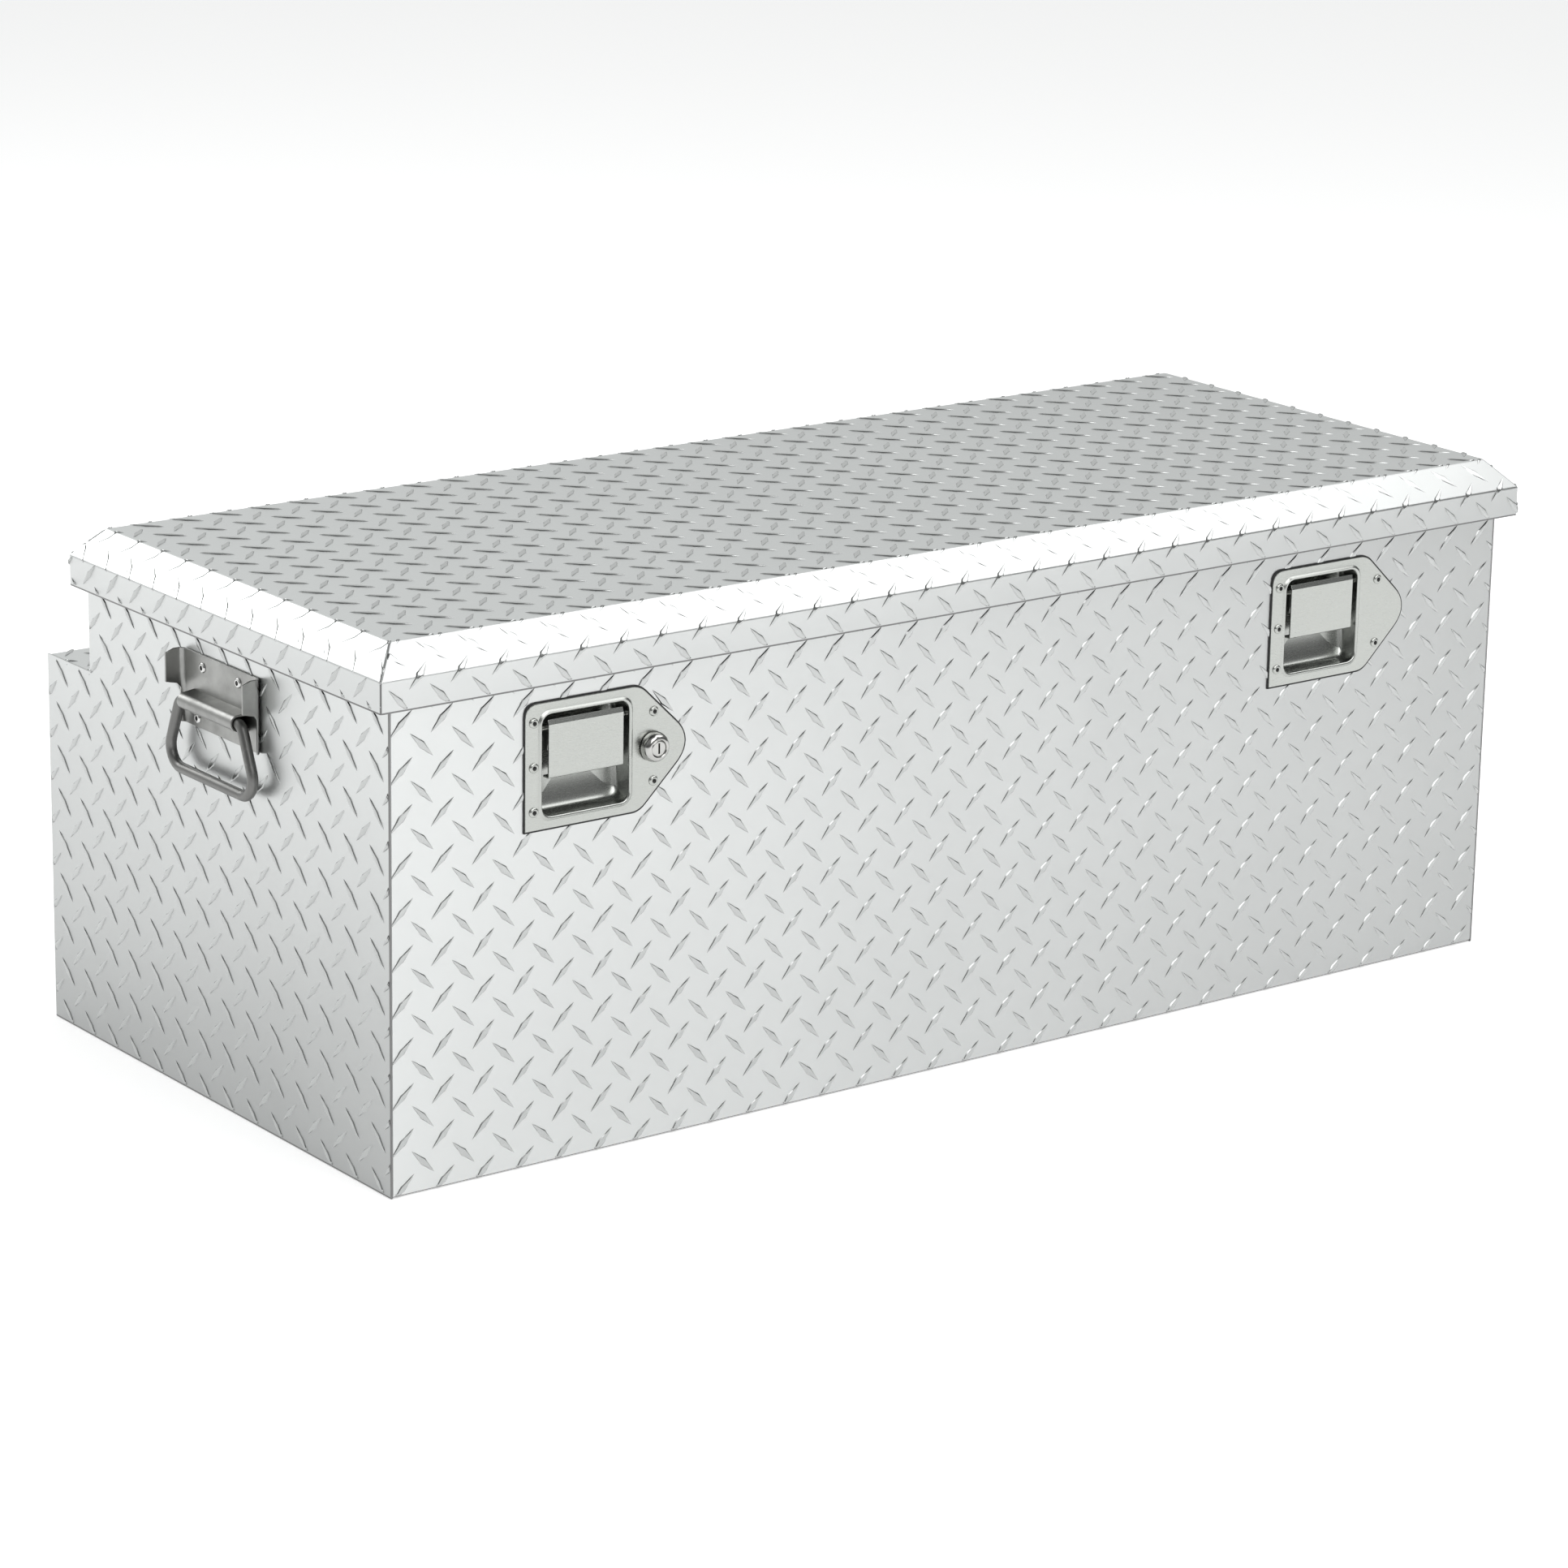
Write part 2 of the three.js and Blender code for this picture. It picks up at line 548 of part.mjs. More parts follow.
function buildBolt(latch, name) {
  const nose = polygon([
    [BOLT_V - 4, -4.5], [BOLT_V + 4, -4.5], [BOLT_V + 4, BOLT_TIP_W + 8],
    [BOLT_V - 2, BOLT_TIP_W], [BOLT_V - 4, BOLT_TIP_W],
  ]);
  const stem = extrude(nose, "yz", BOLT_U - 5, BOLT_U + 5);
  const head = box(BOLT_U - 14, BOLT_V - 3, -7.5, BOLT_U + 14, BOLT_V + 3, -4.5);
  const collar = box(BOLT_U - 10, BOLT_V - 9, -42, BOLT_U + 10, BOLT_V + 9, -39.5);
  addMesh(latch, `latch_bolt_${name}`, combine([stem, head, collar]), ZINC);

  const [legU, footU, crownW, footW] = [16, 28, -47, -(WELL_DEPTH + WELL_T + GAP + 1)];
  const hat = bentSheet([
    [BOLT_U - footU, footW], [BOLT_U - legU, footW], [BOLT_U - legU, crownW],
    [BOLT_U + legU, crownW], [BOLT_U + legU, footW], [BOLT_U + footU, footW],
  ].map(([u, w]) => [w, u]), 2, 3);
  const strip = extrude(hat, "zx", BOLT_V - 11, BOLT_V + 9);
  const window = box(BOLT_U - 5.5, BOLT_V - 4.5, -60, BOLT_U + 5.5, BOLT_V + 4.5, -44);
  addMesh(latch, `latch_guide_${name}`, combine([strip], [window]), ZINC);

  const coils = 4;
  const [low, high] = [-38.5, -WELL_DEPTH - WELL_T - 1.3];
  const helix = new THREE.CatmullRomCurve3(
    Array.from({ length: coils * 8 + 1 }, (unused, i) => {
      const turn = (i / 8) * 2 * Math.PI;
      const w = low + ((high - low) * i) / (coils * 8);
      return new THREE.Vector3(BOLT_U + 8 * Math.cos(turn), BOLT_V + 8 * Math.sin(turn), w);
    }));
  const wire = new THREE.Shape().absarc(0, 0, 0.6, 0, 2 * Math.PI);
  const coil = new THREE.ExtrudeGeometry(wire, {
    steps: coils * 10, curveSegments: 3, bevelEnabled: false, extrudePath: helix,
  });
  addMesh(latch, `latch_spring_${name}`, coil, ZINC);
}

function buildLock(latch) {
  const face = PLATE_W + PLATE_T + GAP;
  const [bore, shank, head] = [LOCK_PLUG_R + GAP, LOCK_BORE_R - 0.4, 13];
  const barrel = new THREE.LatheGeometry([
    [bore, -28], [shank, -28], [shank, face], [head, face], [head, face + 3.5],
    [head - 2.2, 12.3], [bore, 12.3], [bore, -28],
  ].map(([r, h]) => new THREE.Vector2(r, h)), 20);
  addMesh(latch, "lock_barrel", barrel.rotateX(Math.PI / 2).translate(LOCK_U, 0, 0), CHROME);

  const keyway = box(-1, -5, 7, 1, 4, 20);
  const plug = combine([rod(LOCK_PLUG_R, -28.5, 11.8, 20)], [keyway]);
  addMesh(latch, "lock_plug", plug.translate(LOCK_U, 0, 0), CHROME);

  const arm = roundedRectangle(-6, -34, 6, 6, 5);
  const cam = combine([extrude(arm, "xy", -31.3, -28.8, 3)]);
  addMesh(latch, "lock_cam", cam.translate(LOCK_U, 0, 0), ZINC);

  const nut = combine([new THREE.CylinderGeometry(14, 14, 4, 6).rotateX(Math.PI / 2)],
    [rod(9.9, -4, 4, 20)]);
  addMesh(latch, "lock_nut", nut.translate(LOCK_U, 0, -SHEET - GAP - 2), ZINC);
}

function buildStriker(plateX, name) {
  const front = FRONT_Y - BOLT_TIP_W + 3.2;
  const top = LID_UNDERSIDE - GAP - 1;
  const foot = LATCH_Z + 5;
  const strip = bentSheet([[front + 1, foot], [front + 1, top], [front + 34, top]], 2, 3);
  const centre = plateX + BOLT_U;
  const hook = extrude(strip, "yz", centre - 18, centre + 18);
  const bolt = LATCH_Z + BOLT_V;
  const window = box(centre - 8, front - 5, bolt - 6, centre + 8, front + 8, bolt + 6);
  addMesh(root, `striker_${name}`, combine([hook], [window]), ZINC);
}

function buildLatches() {
  for (const [name, x] of [["left", LATCH_LEFT_X], ["right", LATCH_RIGHT_X]]) {
    const latch = wallGroup(x, FRONT_Y, LATCH_Z, 0);
    const hasLock = name === "left";
    buildPlate(latch, name, hasLock);
    buildPaddle(latch, name);
    buildBolt(latch, name);
    if (hasLock) buildLock(latch);
    buildStriker(x, name);
  }
}

// ---- End handles -------------------------------------------------------------------------

function bracketGeometry() {
  const plateW = GAP;
  const face = plateW + BRACKET_T;
  const [lowV, highV] = BRACKET_V;
  const outline = polygon([
    [-BRACKET_HALF, lowV], [BRACKET_HALF, lowV], [BRACKET_HALF, highV], [-BRACKET_HALF, highV],
  ]);
  const ear = polygon([
    [lowV, plateW], [highV, plateW], [highV - 4, 19], [14, 19], [8, 4.5], [lowV, 4.5],
  ]);
  const outer = ROD_R + STRAP_PLAY + BRACKET_T;
  const barrel = new THREE.Shape();
  barrel.moveTo(outer, plateW);
  barrel.lineTo(outer, BAIL_W);
  barrel.absarc(0, BAIL_W, outer, 0, Math.PI);
  barrel.lineTo(-outer, plateW);
  const pieces = [
    extrude(outline, "xy", plateW, face),
    extrude(ear, "yz", -BRACKET_HALF, -BRACKET_HALF + BRACKET_T),
    extrude(ear, "yz", BRACKET_HALF - BRACKET_T, BRACKET_HALF),
    extrude(barrel, "yz", -STRAP_HALF, STRAP_HALF, 10),
  ];
  const bore = rod(ROD_R + STRAP_PLAY, -50, 50, 20).rotateY(Math.PI / 2)
    .translate(0, 0, BAIL_W);
  return combine(pieces, [bore, ...rivetCutters(HANDLE_RIVETS)]);
}

// One closed loop of round bar: the pivot bar on top, the sides spreading to the grip.
function bailGeometry() {
  const corners = BAIL_CORNERS.map(([u, v]) => new THREE.Vector3(u, v, BAIL_W));
  const route = corners.flatMap((corner, i) => {
    const before = corners[(i + 3) % 4].clone().sub(corner).normalize();
    const after = corners[(i + 1) % 4].clone().sub(corner).normalize();
    const start = corner.clone().addScaledVector(before, BAIL_REACH[i]);
    const end = corner.clone().addScaledVector(after, BAIL_REACH[i]);
    return new THREE.QuadraticBezierCurve3(start, corner, end).getPoints(6);
  });
  const sides = 12;
  const positions = [];
  const outwards = new THREE.Vector3(0, 0, 1);
  route.forEach((point, i) => {
    const back = route[(i - 1 + route.length) % route.length];
    const ahead = route[(i + 1) % route.length];
    const along = ahead.clone().sub(back).normalize();
    const side = outwards.clone().cross(along);
    for (let j = 0; j < sides; j++) {
      const angle = (j / sides) * 2 * Math.PI;
      const spoke = side.clone().multiplyScalar(ROD_R * Math.cos(angle))
        .addScaledVector(outwards, ROD_R * Math.sin(angle));
      positions.push(...point.clone().add(spoke).toArray());
    }
  });
  const index = [];
  route.forEach((unused, i) => {
    for (let j = 0; j < sides; j++) {
      const next = (i + 1) % route.length;
      const a = i * sides + j;
      const b = i * sides + ((j + 1) % sides);
      const c = next * sides + ((j + 1) % sides);
      const d = next * sides + j;
      index.push(a, b, c, a, c, d);
    }
  });
  const geometry = new THREE.BufferGeometry();
  geometry.setAttribute("position", new THREE.Float32BufferAttribute(positions, 3));
  geometry.setIndex(index);
  return geometry;
}

function buildHandles() {
  for (const [name, sign] of [["left", -1], ["right", 1]]) {
    const turn = (sign * Math.PI) / 2;
    const wall = wallGroup(sign * HALF, FRONT_Y + HANDLE_BACK, HANDLE_Z, turn);
    addMesh(wall, `handle_bracket_${name}`, bracketGeometry(), ZINC);
    addMesh(wall, `handle_bail_${name}`, bailGeometry(), ZINC);
    addRivets(wall, `handle_${name}`, HANDLE_RIVETS, GAP + BRACKET_T, ZINC);
  }
}

buildChest();
buildLid();
buildHinge();
buildStruts();
buildLatches();
buildHandles();

export default root;
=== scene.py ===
# %% [markdown]
# # A tread-plate truck tool box
#
# This lesson dresses a measured model of an aluminium truck tool box. The model already
# holds every part at its true size and place, so nothing here is fitted by eye: each piece
# takes its corners from the frame. What is added is what a plain solid lacks: the raised
# lugs of the tread plate, rolled sheet edges, drawn wells, blind rivets, and the way each
# metal catches the light.

# %% Load the frame
import json
import math
from contextlib import contextmanager
import bmesh
import bpy
from mathutils import Matrix, Vector


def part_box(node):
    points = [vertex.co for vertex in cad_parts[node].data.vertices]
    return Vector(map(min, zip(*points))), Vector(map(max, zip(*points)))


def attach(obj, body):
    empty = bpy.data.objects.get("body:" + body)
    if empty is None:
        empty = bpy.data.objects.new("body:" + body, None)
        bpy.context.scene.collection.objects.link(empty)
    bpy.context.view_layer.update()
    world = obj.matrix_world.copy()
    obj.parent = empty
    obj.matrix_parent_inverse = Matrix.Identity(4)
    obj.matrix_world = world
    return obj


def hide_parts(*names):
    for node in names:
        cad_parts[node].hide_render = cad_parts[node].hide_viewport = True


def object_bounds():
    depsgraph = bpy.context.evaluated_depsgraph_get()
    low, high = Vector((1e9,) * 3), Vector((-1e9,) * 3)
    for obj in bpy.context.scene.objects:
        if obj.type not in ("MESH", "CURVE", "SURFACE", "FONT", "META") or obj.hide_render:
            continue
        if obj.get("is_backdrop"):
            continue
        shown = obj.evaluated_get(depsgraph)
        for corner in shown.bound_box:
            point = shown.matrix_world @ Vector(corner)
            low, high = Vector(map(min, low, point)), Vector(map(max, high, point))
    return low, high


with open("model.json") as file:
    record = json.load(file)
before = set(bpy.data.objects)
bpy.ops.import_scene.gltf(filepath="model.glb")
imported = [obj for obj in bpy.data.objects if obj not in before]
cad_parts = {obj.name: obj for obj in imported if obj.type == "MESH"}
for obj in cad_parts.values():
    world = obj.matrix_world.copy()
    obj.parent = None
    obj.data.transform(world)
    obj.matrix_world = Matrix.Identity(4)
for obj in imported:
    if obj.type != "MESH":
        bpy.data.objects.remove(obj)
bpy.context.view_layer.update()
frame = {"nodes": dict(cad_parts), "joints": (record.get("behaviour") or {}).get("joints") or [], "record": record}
MM = 0.001

# %% [markdown]
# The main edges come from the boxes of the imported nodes. The ledge's height comes from the
# mount that lies on it. The lid has the same bevel on all four sides, and its crest is the
# line where the flat top turns down.

# %% The box's own edges
end_low, end_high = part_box("end_panel_left")
lid_low, lid_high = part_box("lid_skin")
mounts = {mount["name"]: mount for mount in frame["record"]["mounts"]}
joints = {joint["name"]: joint for joint in frame["joints"]}

HALF = -end_low.x
FRONT_Y, REAR_Y, RIM_Z = end_low.y, end_high.y, end_high.z
LENGTH, DEPTH = 2 * HALF, REAR_Y - FRONT_Y
LEDGE_Z = mounts["rear_ledge"]["pos_m"][2]
REAR_OVERLAP = 4 * MM
UPPER_REAR_Y = lid_high.y - REAR_OVERLAP
SHEET = 1.6 * MM
BEVEL_RUN, BEVEL_RISE = 24 * MM, 25 * MM
BEVEL_LENGTH = math.hypot(BEVEL_RUN, BEVEL_RISE)
BEVEL_Z = lid_high.z - BEVEL_RISE
CREST_LOW = Vector((lid_low.x + BEVEL_RUN, lid_low.y + BEVEL_RUN))
CREST_HIGH = Vector((lid_high.x - BEVEL_RUN, lid_high.y - BEVEL_RUN))
SIDES = {"left": -1, "right": 1}
print("chest", round(LENGTH, 4), "x", round(DEPTH, 4), "lid top", round(lid_high.z, 4))

# %% [markdown]
# A few small mesh helpers serve every piece. A mesh is a list of points and faces.
# `finish_mesh` merges what coincides, turns the faces outwards and shades the mesh smooth
# except across real edges. `piece` gives a finished object its material and its body, and
# hides the nodes of the measured model that it stands for.

# %% Mesh helpers
SMOOTH_ANGLE = math.radians(32)
MERGE = 1e-6


def linked(name, data):
    thing = bpy.data.objects.new(name, data)
    bpy.context.scene.collection.objects.link(thing)
    return thing


@contextmanager
def editing(thing):
    """Opens an object's mesh for editing and writes it back."""
    work = bmesh.new()
    work.from_mesh(thing.data)
    yield work
    work.to_mesh(thing.data)
    work.free()


def finish_mesh(thing):
    """Merges doubles, turns faces outwards and keeps only real edges sharp."""
    with editing(thing) as work:
        bmesh.ops.remove_doubles(work, verts=work.verts, dist=MERGE)
        bmesh.ops.recalc_face_normals(work, faces=work.faces)
        for face in work.faces:
            face.smooth = True
    thing.data.set_sharp_from_angle(angle=SMOOTH_ANGLE)
    return thing


def mesh_of(name, points, faces=()):
    """An object at the origin from points and faces."""
    mesh = bpy.data.meshes.new(name)
    mesh.from_pydata([tuple(point) for point in points], [], faces)
    return linked(name, mesh)


def make_object(name, points, faces):
    return finish_mesh(mesh_of(name, points, faces))


def applied(thing):
    """Makes the object's modifiers part of its mesh."""
    graph = bpy.context.evaluated_depsgraph_get()
    mesh = bpy.data.meshes.new_from_object(thing.evaluated_get(graph))
    thing.modifiers.clear()
    thing.data = mesh
    return thing


def joined(name, parts):
    """One object holding the meshes of several."""
    whole = linked(name, bpy.data.meshes.new(name))
    with editing(whole) as work:
        for part in parts:
            work.from_mesh(part.data)
            bpy.data.objects.remove(part)
    return whole


def dress(thing, material):
    """Makes a material the only one of an object."""
    thing.data.materials.clear()
    thing.data.materials.append(material)


def piece(thing, body, material, replaces=()):
    """Gives a finished object its material and its body, and hides the nodes it stands for."""
    dress(thing, material)
    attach(thing, body)
    if replaces:
        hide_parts(*replaces)
    print(thing.name, len(thing.data.polygons), "faces, on", body)


def ring_faces(rings, sides, capped=True):
    """Quads between rings of points that follow each other, with a cap on each end."""
    faces = []
    for ring in range(rings - 1):
        low, high = ring * sides, (ring + 1) * sides
        for i in range(sides):
            j = (i + 1) % sides
            faces.append((low + i, low + j, high + j, high + i))
    if capped:
        faces.append(tuple(reversed(range(sides))))
        faces.append(tuple((rings - 1) * sides + i for i in range(sides)))
    return faces


print("mesh helpers ready")
# %% [markdown]
# ## Finishes
#
# Four effects are shared by several metals, so each is a shader node group. `mill_grain`
# is the fine directional scratch that rolling or brushing leaves. `soft_mottle` is the slow
# change in brightness over a sheet that was handled and wiped. `scuffs` are the few short
# bright scratches of a part that is gripped. `seam_and_shade_lines` are thin dark lines: real
# seams along the welded front corners, and a painted shade line along the lower edge of a
# sheet, where the gap under the lid's skirt and the chest's foot on the floor fall dark. A
# group only puts out numbers that change over the surface; each material keeps its own shader.

# %% Node helpers
def new_tree(name, kind, inputs, outputs):
    """An empty node tree. An input has a first value or the name of its socket type."""
    tree = bpy.data.node_groups.new(name, kind)
    for label, value in inputs.items():
        kind_of_socket = {int: "Int", float: "Float"}.get(type(value), value)
        socket = tree.interface.new_socket(label, in_out="INPUT",
                                           socket_type="NodeSocket" + kind_of_socket)
        if kind_of_socket != value:
            socket.default_value = value
    for label, kind_of_socket in outputs.items():
        tree.interface.new_socket(label, in_out="OUTPUT",
                                  socket_type="NodeSocket" + kind_of_socket)
    return tree, tree.nodes.new("NodeGroupInput").outputs, tree.nodes.new("NodeGroupOutput")


def fill(tree, node, values):
    """Gives a node's inputs what they take: a socket to link, or a plain value."""
    for key, value in values.items():
        if isinstance(value, bpy.types.NodeSocket):
            tree.links.new(value, node.inputs[key])
        else:
            node.inputs[key].default_value = value
    return node


def add(tree, kind, values=None, **settings):
    """A new node with its settings and its inputs."""
    node = tree.nodes.new(kind)
    for name, value in settings.items():
        setattr(node, name, value)
    return fill(tree, node, values or {})


def calc(tree, operation, *values):
    """A Math node's result from sockets or numbers."""
    return add(tree, "ShaderNodeMath", dict(enumerate(values)), operation=operation).outputs[0]


def noise(tree, vector, scale, detail, roughness=0.55):
    return add(tree, "ShaderNodeTexNoise", {"Vector": vector, "Scale": scale, "Detail": detail,
                                            "Roughness": roughness}).outputs["Fac"]


def mixed(tree, factor, first, second):
    """A colour between two others."""
    return add(tree, "ShaderNodeMix", {"Factor": factor, "A": first, "B": second},
               data_type="RGBA").outputs["Result"]


def shader_group(name, inputs, *outputs):
    return new_tree(name, "ShaderNodeTree", {"Vector": "Vector", **inputs},
                    dict.fromkeys(outputs, "Float"))


# %% The grain that rolling leaves
def make_mill_grain():
    tree, given, out = shader_group(
        "mill_grain", {"Scale": 60.0, "Stretch": 14.0, "Amount": 0.2}, "Roughness", "Height")
    across = add(tree, "ShaderNodeCombineXYZ",
                 {"X": 1.0, "Y": given["Stretch"], "Z": given["Stretch"]})
    stretched = add(tree, "ShaderNodeVectorMath", {0: given["Vector"], 1: across.outputs[0]},
                    operation="MULTIPLY")
    streaks = noise(tree, stretched.outputs[0], given["Scale"], detail=4)
    centred = calc(tree, "SUBTRACT", streaks, 0.5)
    fill(tree, out, {"Roughness": calc(tree, "MULTIPLY", centred, given["Amount"]),
                     "Height": streaks})
    return tree


# %% The slow mottle of a handled sheet
def make_soft_mottle():
    tree, given, out = shader_group("soft_mottle", {"Scale": 4.0, "Amount": 0.1}, "Shade")
    broad = noise(tree, given["Vector"], given["Scale"], detail=2)
    finer = noise(tree, given["Vector"], calc(tree, "MULTIPLY", given["Scale"], 6.0), detail=4)
    both = calc(tree, "MULTIPLY_ADD", finer, 0.35, calc(tree, "MULTIPLY", broad, 0.65))
    centred = calc(tree, "SUBTRACT", both, 0.5)
    fill(tree, out, {"Shade": calc(tree, "MULTIPLY", centred, given["Amount"])})
    return tree


# %% Short scratches where hands and keys rub
def make_scuffs():
    tree, given, out = shader_group("scuffs", {"Scale": 90.0, "Coverage": 0.3}, "Mask")
    streaks = noise(tree, given["Vector"], given["Scale"], detail=6, roughness=0.7)
    patches = noise(tree, given["Vector"], calc(tree, "MULTIPLY", given["Scale"], 0.12),
                    detail=2)
    threshold = calc(tree, "MULTIPLY_ADD", given["Coverage"], -0.16, 0.36)
    above = calc(tree, "SUBTRACT", calc(tree, "MULTIPLY", streaks, patches), threshold)
    mask = calc(tree, "MAXIMUM", calc(tree, "MULTIPLY", above, 16.0), 0.0)
    fill(tree, out, {"Mask": calc(tree, "MINIMUM", mask, 1.0)})
    return tree


# %% Dark seam lines at the front corners and a painted shade line along the lower edge
def make_seam_and_shade_lines():
    tree, given, out = shader_group(
        "seam_and_shade_lines", {"Side X": 1.0, "Front Y": -1.0, "Low Z": 0.0, "Width": 1.2 * MM}, "Mask")
    spot = add(tree, "ShaderNodeSeparateXYZ", {0: given["Vector"]}).outputs

    def within(far, near):
        return calc(tree, "LESS_THAN", calc(tree, "SUBTRACT", far, near), given["Width"])

    side = within(given["Side X"], calc(tree, "ABSOLUTE", spot["X"]))
    corner = calc(tree, "MULTIPLY", side, within(spot["Y"], given["Front Y"]))
    # The foot line is painted shade: a dark band along the sheet's lower edge, where the gap under the lid's skirt
    # and the chest's foot on the floor fall dark.
    foot = within(spot["Z"], given["Low Z"])
    fill(tree, out, {"Mask": calc(tree, "MAXIMUM", corner, foot)})
    return tree


MILL_GRAIN, SOFT_MOTTLE = make_mill_grain(), make_soft_mottle()
SCUFFS, SEAM_AND_SHADE_LINES = make_scuffs(), make_seam_and_shade_lines()
print("groups:", [group.name for group in (MILL_GRAIN, SOFT_MOTTLE, SCUFFS, SEAM_AND_SHADE_LINES)])

# %% [markdown]
# Every metal here is the same recipe with its own values: a base colour shaded by the
# mottle, a roughness that the grain and the mottle move up and down, and a very shallow
# bump. On the big tread sheets the base colour also carries painted light and shade: a
# gradient along the sheet, and a painted shade line along its lower edge beside real seam
# lines. `metal` builds that recipe, and the numbers that follow are what tells rolled
# aluminium from brushed stainless, nickel plate or blackened steel.

# %% The recipe for a metal
# SEAM_AND_SHADE_GREY darkens the real seams at the front corners and paints the shade line along a sheet's lower
# edge.
EDGE_LINE, SEAM_AND_SHADE_GREY = 1.4 * MM, (0.20, 0.20, 0.20, 1)
SCUFF_SCALE = 90.0
RELIEF = 0.2 * MM


def metal(name, colour, roughness, metallic=1.0, mottle=0.1, mottle_scale=4.0, grain=0.12,
          grain_scale=60.0, stretch=14.0, bump=0.05, scuffs=0.0, worn=(0.55, 0.55, 0.54),
          edges=None, slope=(0, 0, 0), painted_light_base=1.0):
    """A metal whose colour, roughness and relief all change over its surface.

    `edges` gives the side, the front and the lower edge of a sheet: dark seam lines along its front corners and a
    painted shade line along its lower edge.
    `slope` paints light and shade: how much brighter a big sheet gets per metre along each axis, from
    `painted_light_base`."""
    material = bpy.data.materials.new(name)
    material.use_nodes = True
    tree = material.node_tree
    place = tree.nodes.new("ShaderNodeTexCoord").outputs["Object"]

    def effect(group, **values):
        inputs = {label.replace("_", " "): value for label, value in values.items()}
        return add(tree, "ShaderNodeGroup", {"Vector": place, **inputs}, node_tree=group).outputs

    shade = effect(SOFT_MOTTLE, Scale=mottle_scale, Amount=mottle)["Shade"]
    streaks = effect(MILL_GRAIN, Scale=grain_scale, Stretch=stretch, Amount=grain)
    wear = effect(SCUFFS, Scale=SCUFF_SCALE, Coverage=scuffs)["Mask"]

    # Painted light and shade: the colour brightens along `slope` from `painted_light_base`, a gradient over the
    # sheet that stands in for how the room lights it.
    lean = add(tree, "ShaderNodeVectorMath", {0: place, 1: slope}, operation="DOT_PRODUCT")
    level = calc(tree, "ADD", lean.outputs["Value"], painted_light_base)
    mottle_and_painted_light = add(tree, "ShaderNodeVectorMath",
                 {0: colour, "Scale": calc(tree, "ADD", shade, level)}, operation="SCALE")
    rubbed = calc(tree, "MULTIPLY", wear, min(1.0, scuffs * 2))
    shown = mixed(tree, rubbed, mottle_and_painted_light.outputs["Vector"], (*worn, 1))
    # Real seam lines at the front corners, and a painted shade line along the lower edge.
    if edges:
        lines = effect(SEAM_AND_SHADE_LINES, Side_X=edges[0], Front_Y=edges[1], Low_Z=edges[2],
                       Width=EDGE_LINE)
        shown = mixed(tree, lines["Mask"], shown, SEAM_AND_SHADE_GREY)

    gloss = calc(tree, "ADD", streaks["Roughness"], roughness)
    relief = add(tree, "ShaderNodeBump", {"Strength": bump, "Distance": RELIEF,
                                          "Height": streaks["Height"]})
    fill(tree, tree.nodes["Principled BSDF"], {
        "Metallic": metallic, "Base Color": shown, "Normal": relief.outputs["Normal"],
        "Roughness": calc(tree, "MULTIPLY_ADD", shade, -0.6, gloss)})
    return material


# %% The finishes of this box
def tread(name, edges, slope, painted_light_base):
    """The rolled sheet of the walls and the lid, with painted light and shade set by `slope` and
    `painted_light_base`.
    """
    return metal(name, (0.62, 0.632, 0.628), 0.36, mottle_scale=3.0, grain=0.06, bump=0.03,
                 edges=edges, slope=slope, painted_light_base=painted_light_base)


CHEST_EDGES, LID_EDGES = (HALF, FRONT_Y, 0.0), (lid_high.x, lid_low.y, lid_low.z)
# Painted light and shade on each sheet: the wrap brighter towards the left end and darker towards the right, the
# ends darker towards the bottom, and the lid darker towards the right and lower down its bevel and skirt.
TREAD = tread("tread_plate", CHEST_EDGES, (-0.28, 0, 0), 0.91)
END_TREAD = tread("end_tread_painted_shade", CHEST_EDGES, (0, 0, 0.95), 0.67)
LID_TREAD = tread("lid_tread_painted_light", LID_EDGES, (-0.13, 0, 2.0), 0.06)
# The lugs are the tread's own aluminium in a darker grey: painted shade standing in for the dark reflections along
# their slopes.
LUG = metal("tread_lug_painted_shade", (0.47, 0.48, 0.476), 0.24, mottle=0.20, mottle_scale=30.0,
            grain=0.10, grain_scale=120.0, stretch=1.0)
PLAIN = metal("plain_aluminium", (0.74, 0.75, 0.75), 0.42, grain=0.14)
STAINLESS = metal("satin_stainless", (0.445, 0.457, 0.437), 0.27, mottle=0.06, grain=0.06,
                  grain_scale=140.0, stretch=22.0, bump=0.02)
NICKEL = metal("polished_nickel", (0.47, 0.47, 0.455), 0.15, mottle=0.05, grain=0.03, bump=0.01)
ZINC = metal("zinc_plate", (0.46, 0.47, 0.46), 0.40, mottle=0.25, mottle_scale=40.0)
BRACKET = metal("bracket_steel", (0.33, 0.332, 0.322), 0.38, mottle=0.9, mottle_scale=16.0,
                grain=0.10, bump=0.04)
HANDLE = metal("blackened_steel", (0.19, 0.19, 0.185), 0.42, mottle=0.25, mottle_scale=25.0,
               grain=0.10, bump=0.04, scuffs=0.2, worn=(0.34, 0.34, 0.33))
RIVET = metal("rivet_aluminium", (0.66, 0.66, 0.65), 0.22, mottle=0.08, grain=0.05)
# The mandrel stub is real; its near-black colour is painted shade for the hole it sits in.
MANDREL = metal("mandrel_steel_and_hole_shade", (0.03, 0.03, 0.03), 0.45, grain=0.1)
BLACK = metal("black_paint", (0.02, 0.02, 0.021), 0.33, metallic=0.0, mottle=0.3, bump=0.02)
RUBBER = metal("black_rubber", (0.025, 0.025, 0.026), 0.70, metallic=0.0, mottle=0.4,
               mottle_scale=60.0, grain=0.1, stretch=1.0, bump=0.15)
print("materials:", len(bpy.data.materials))
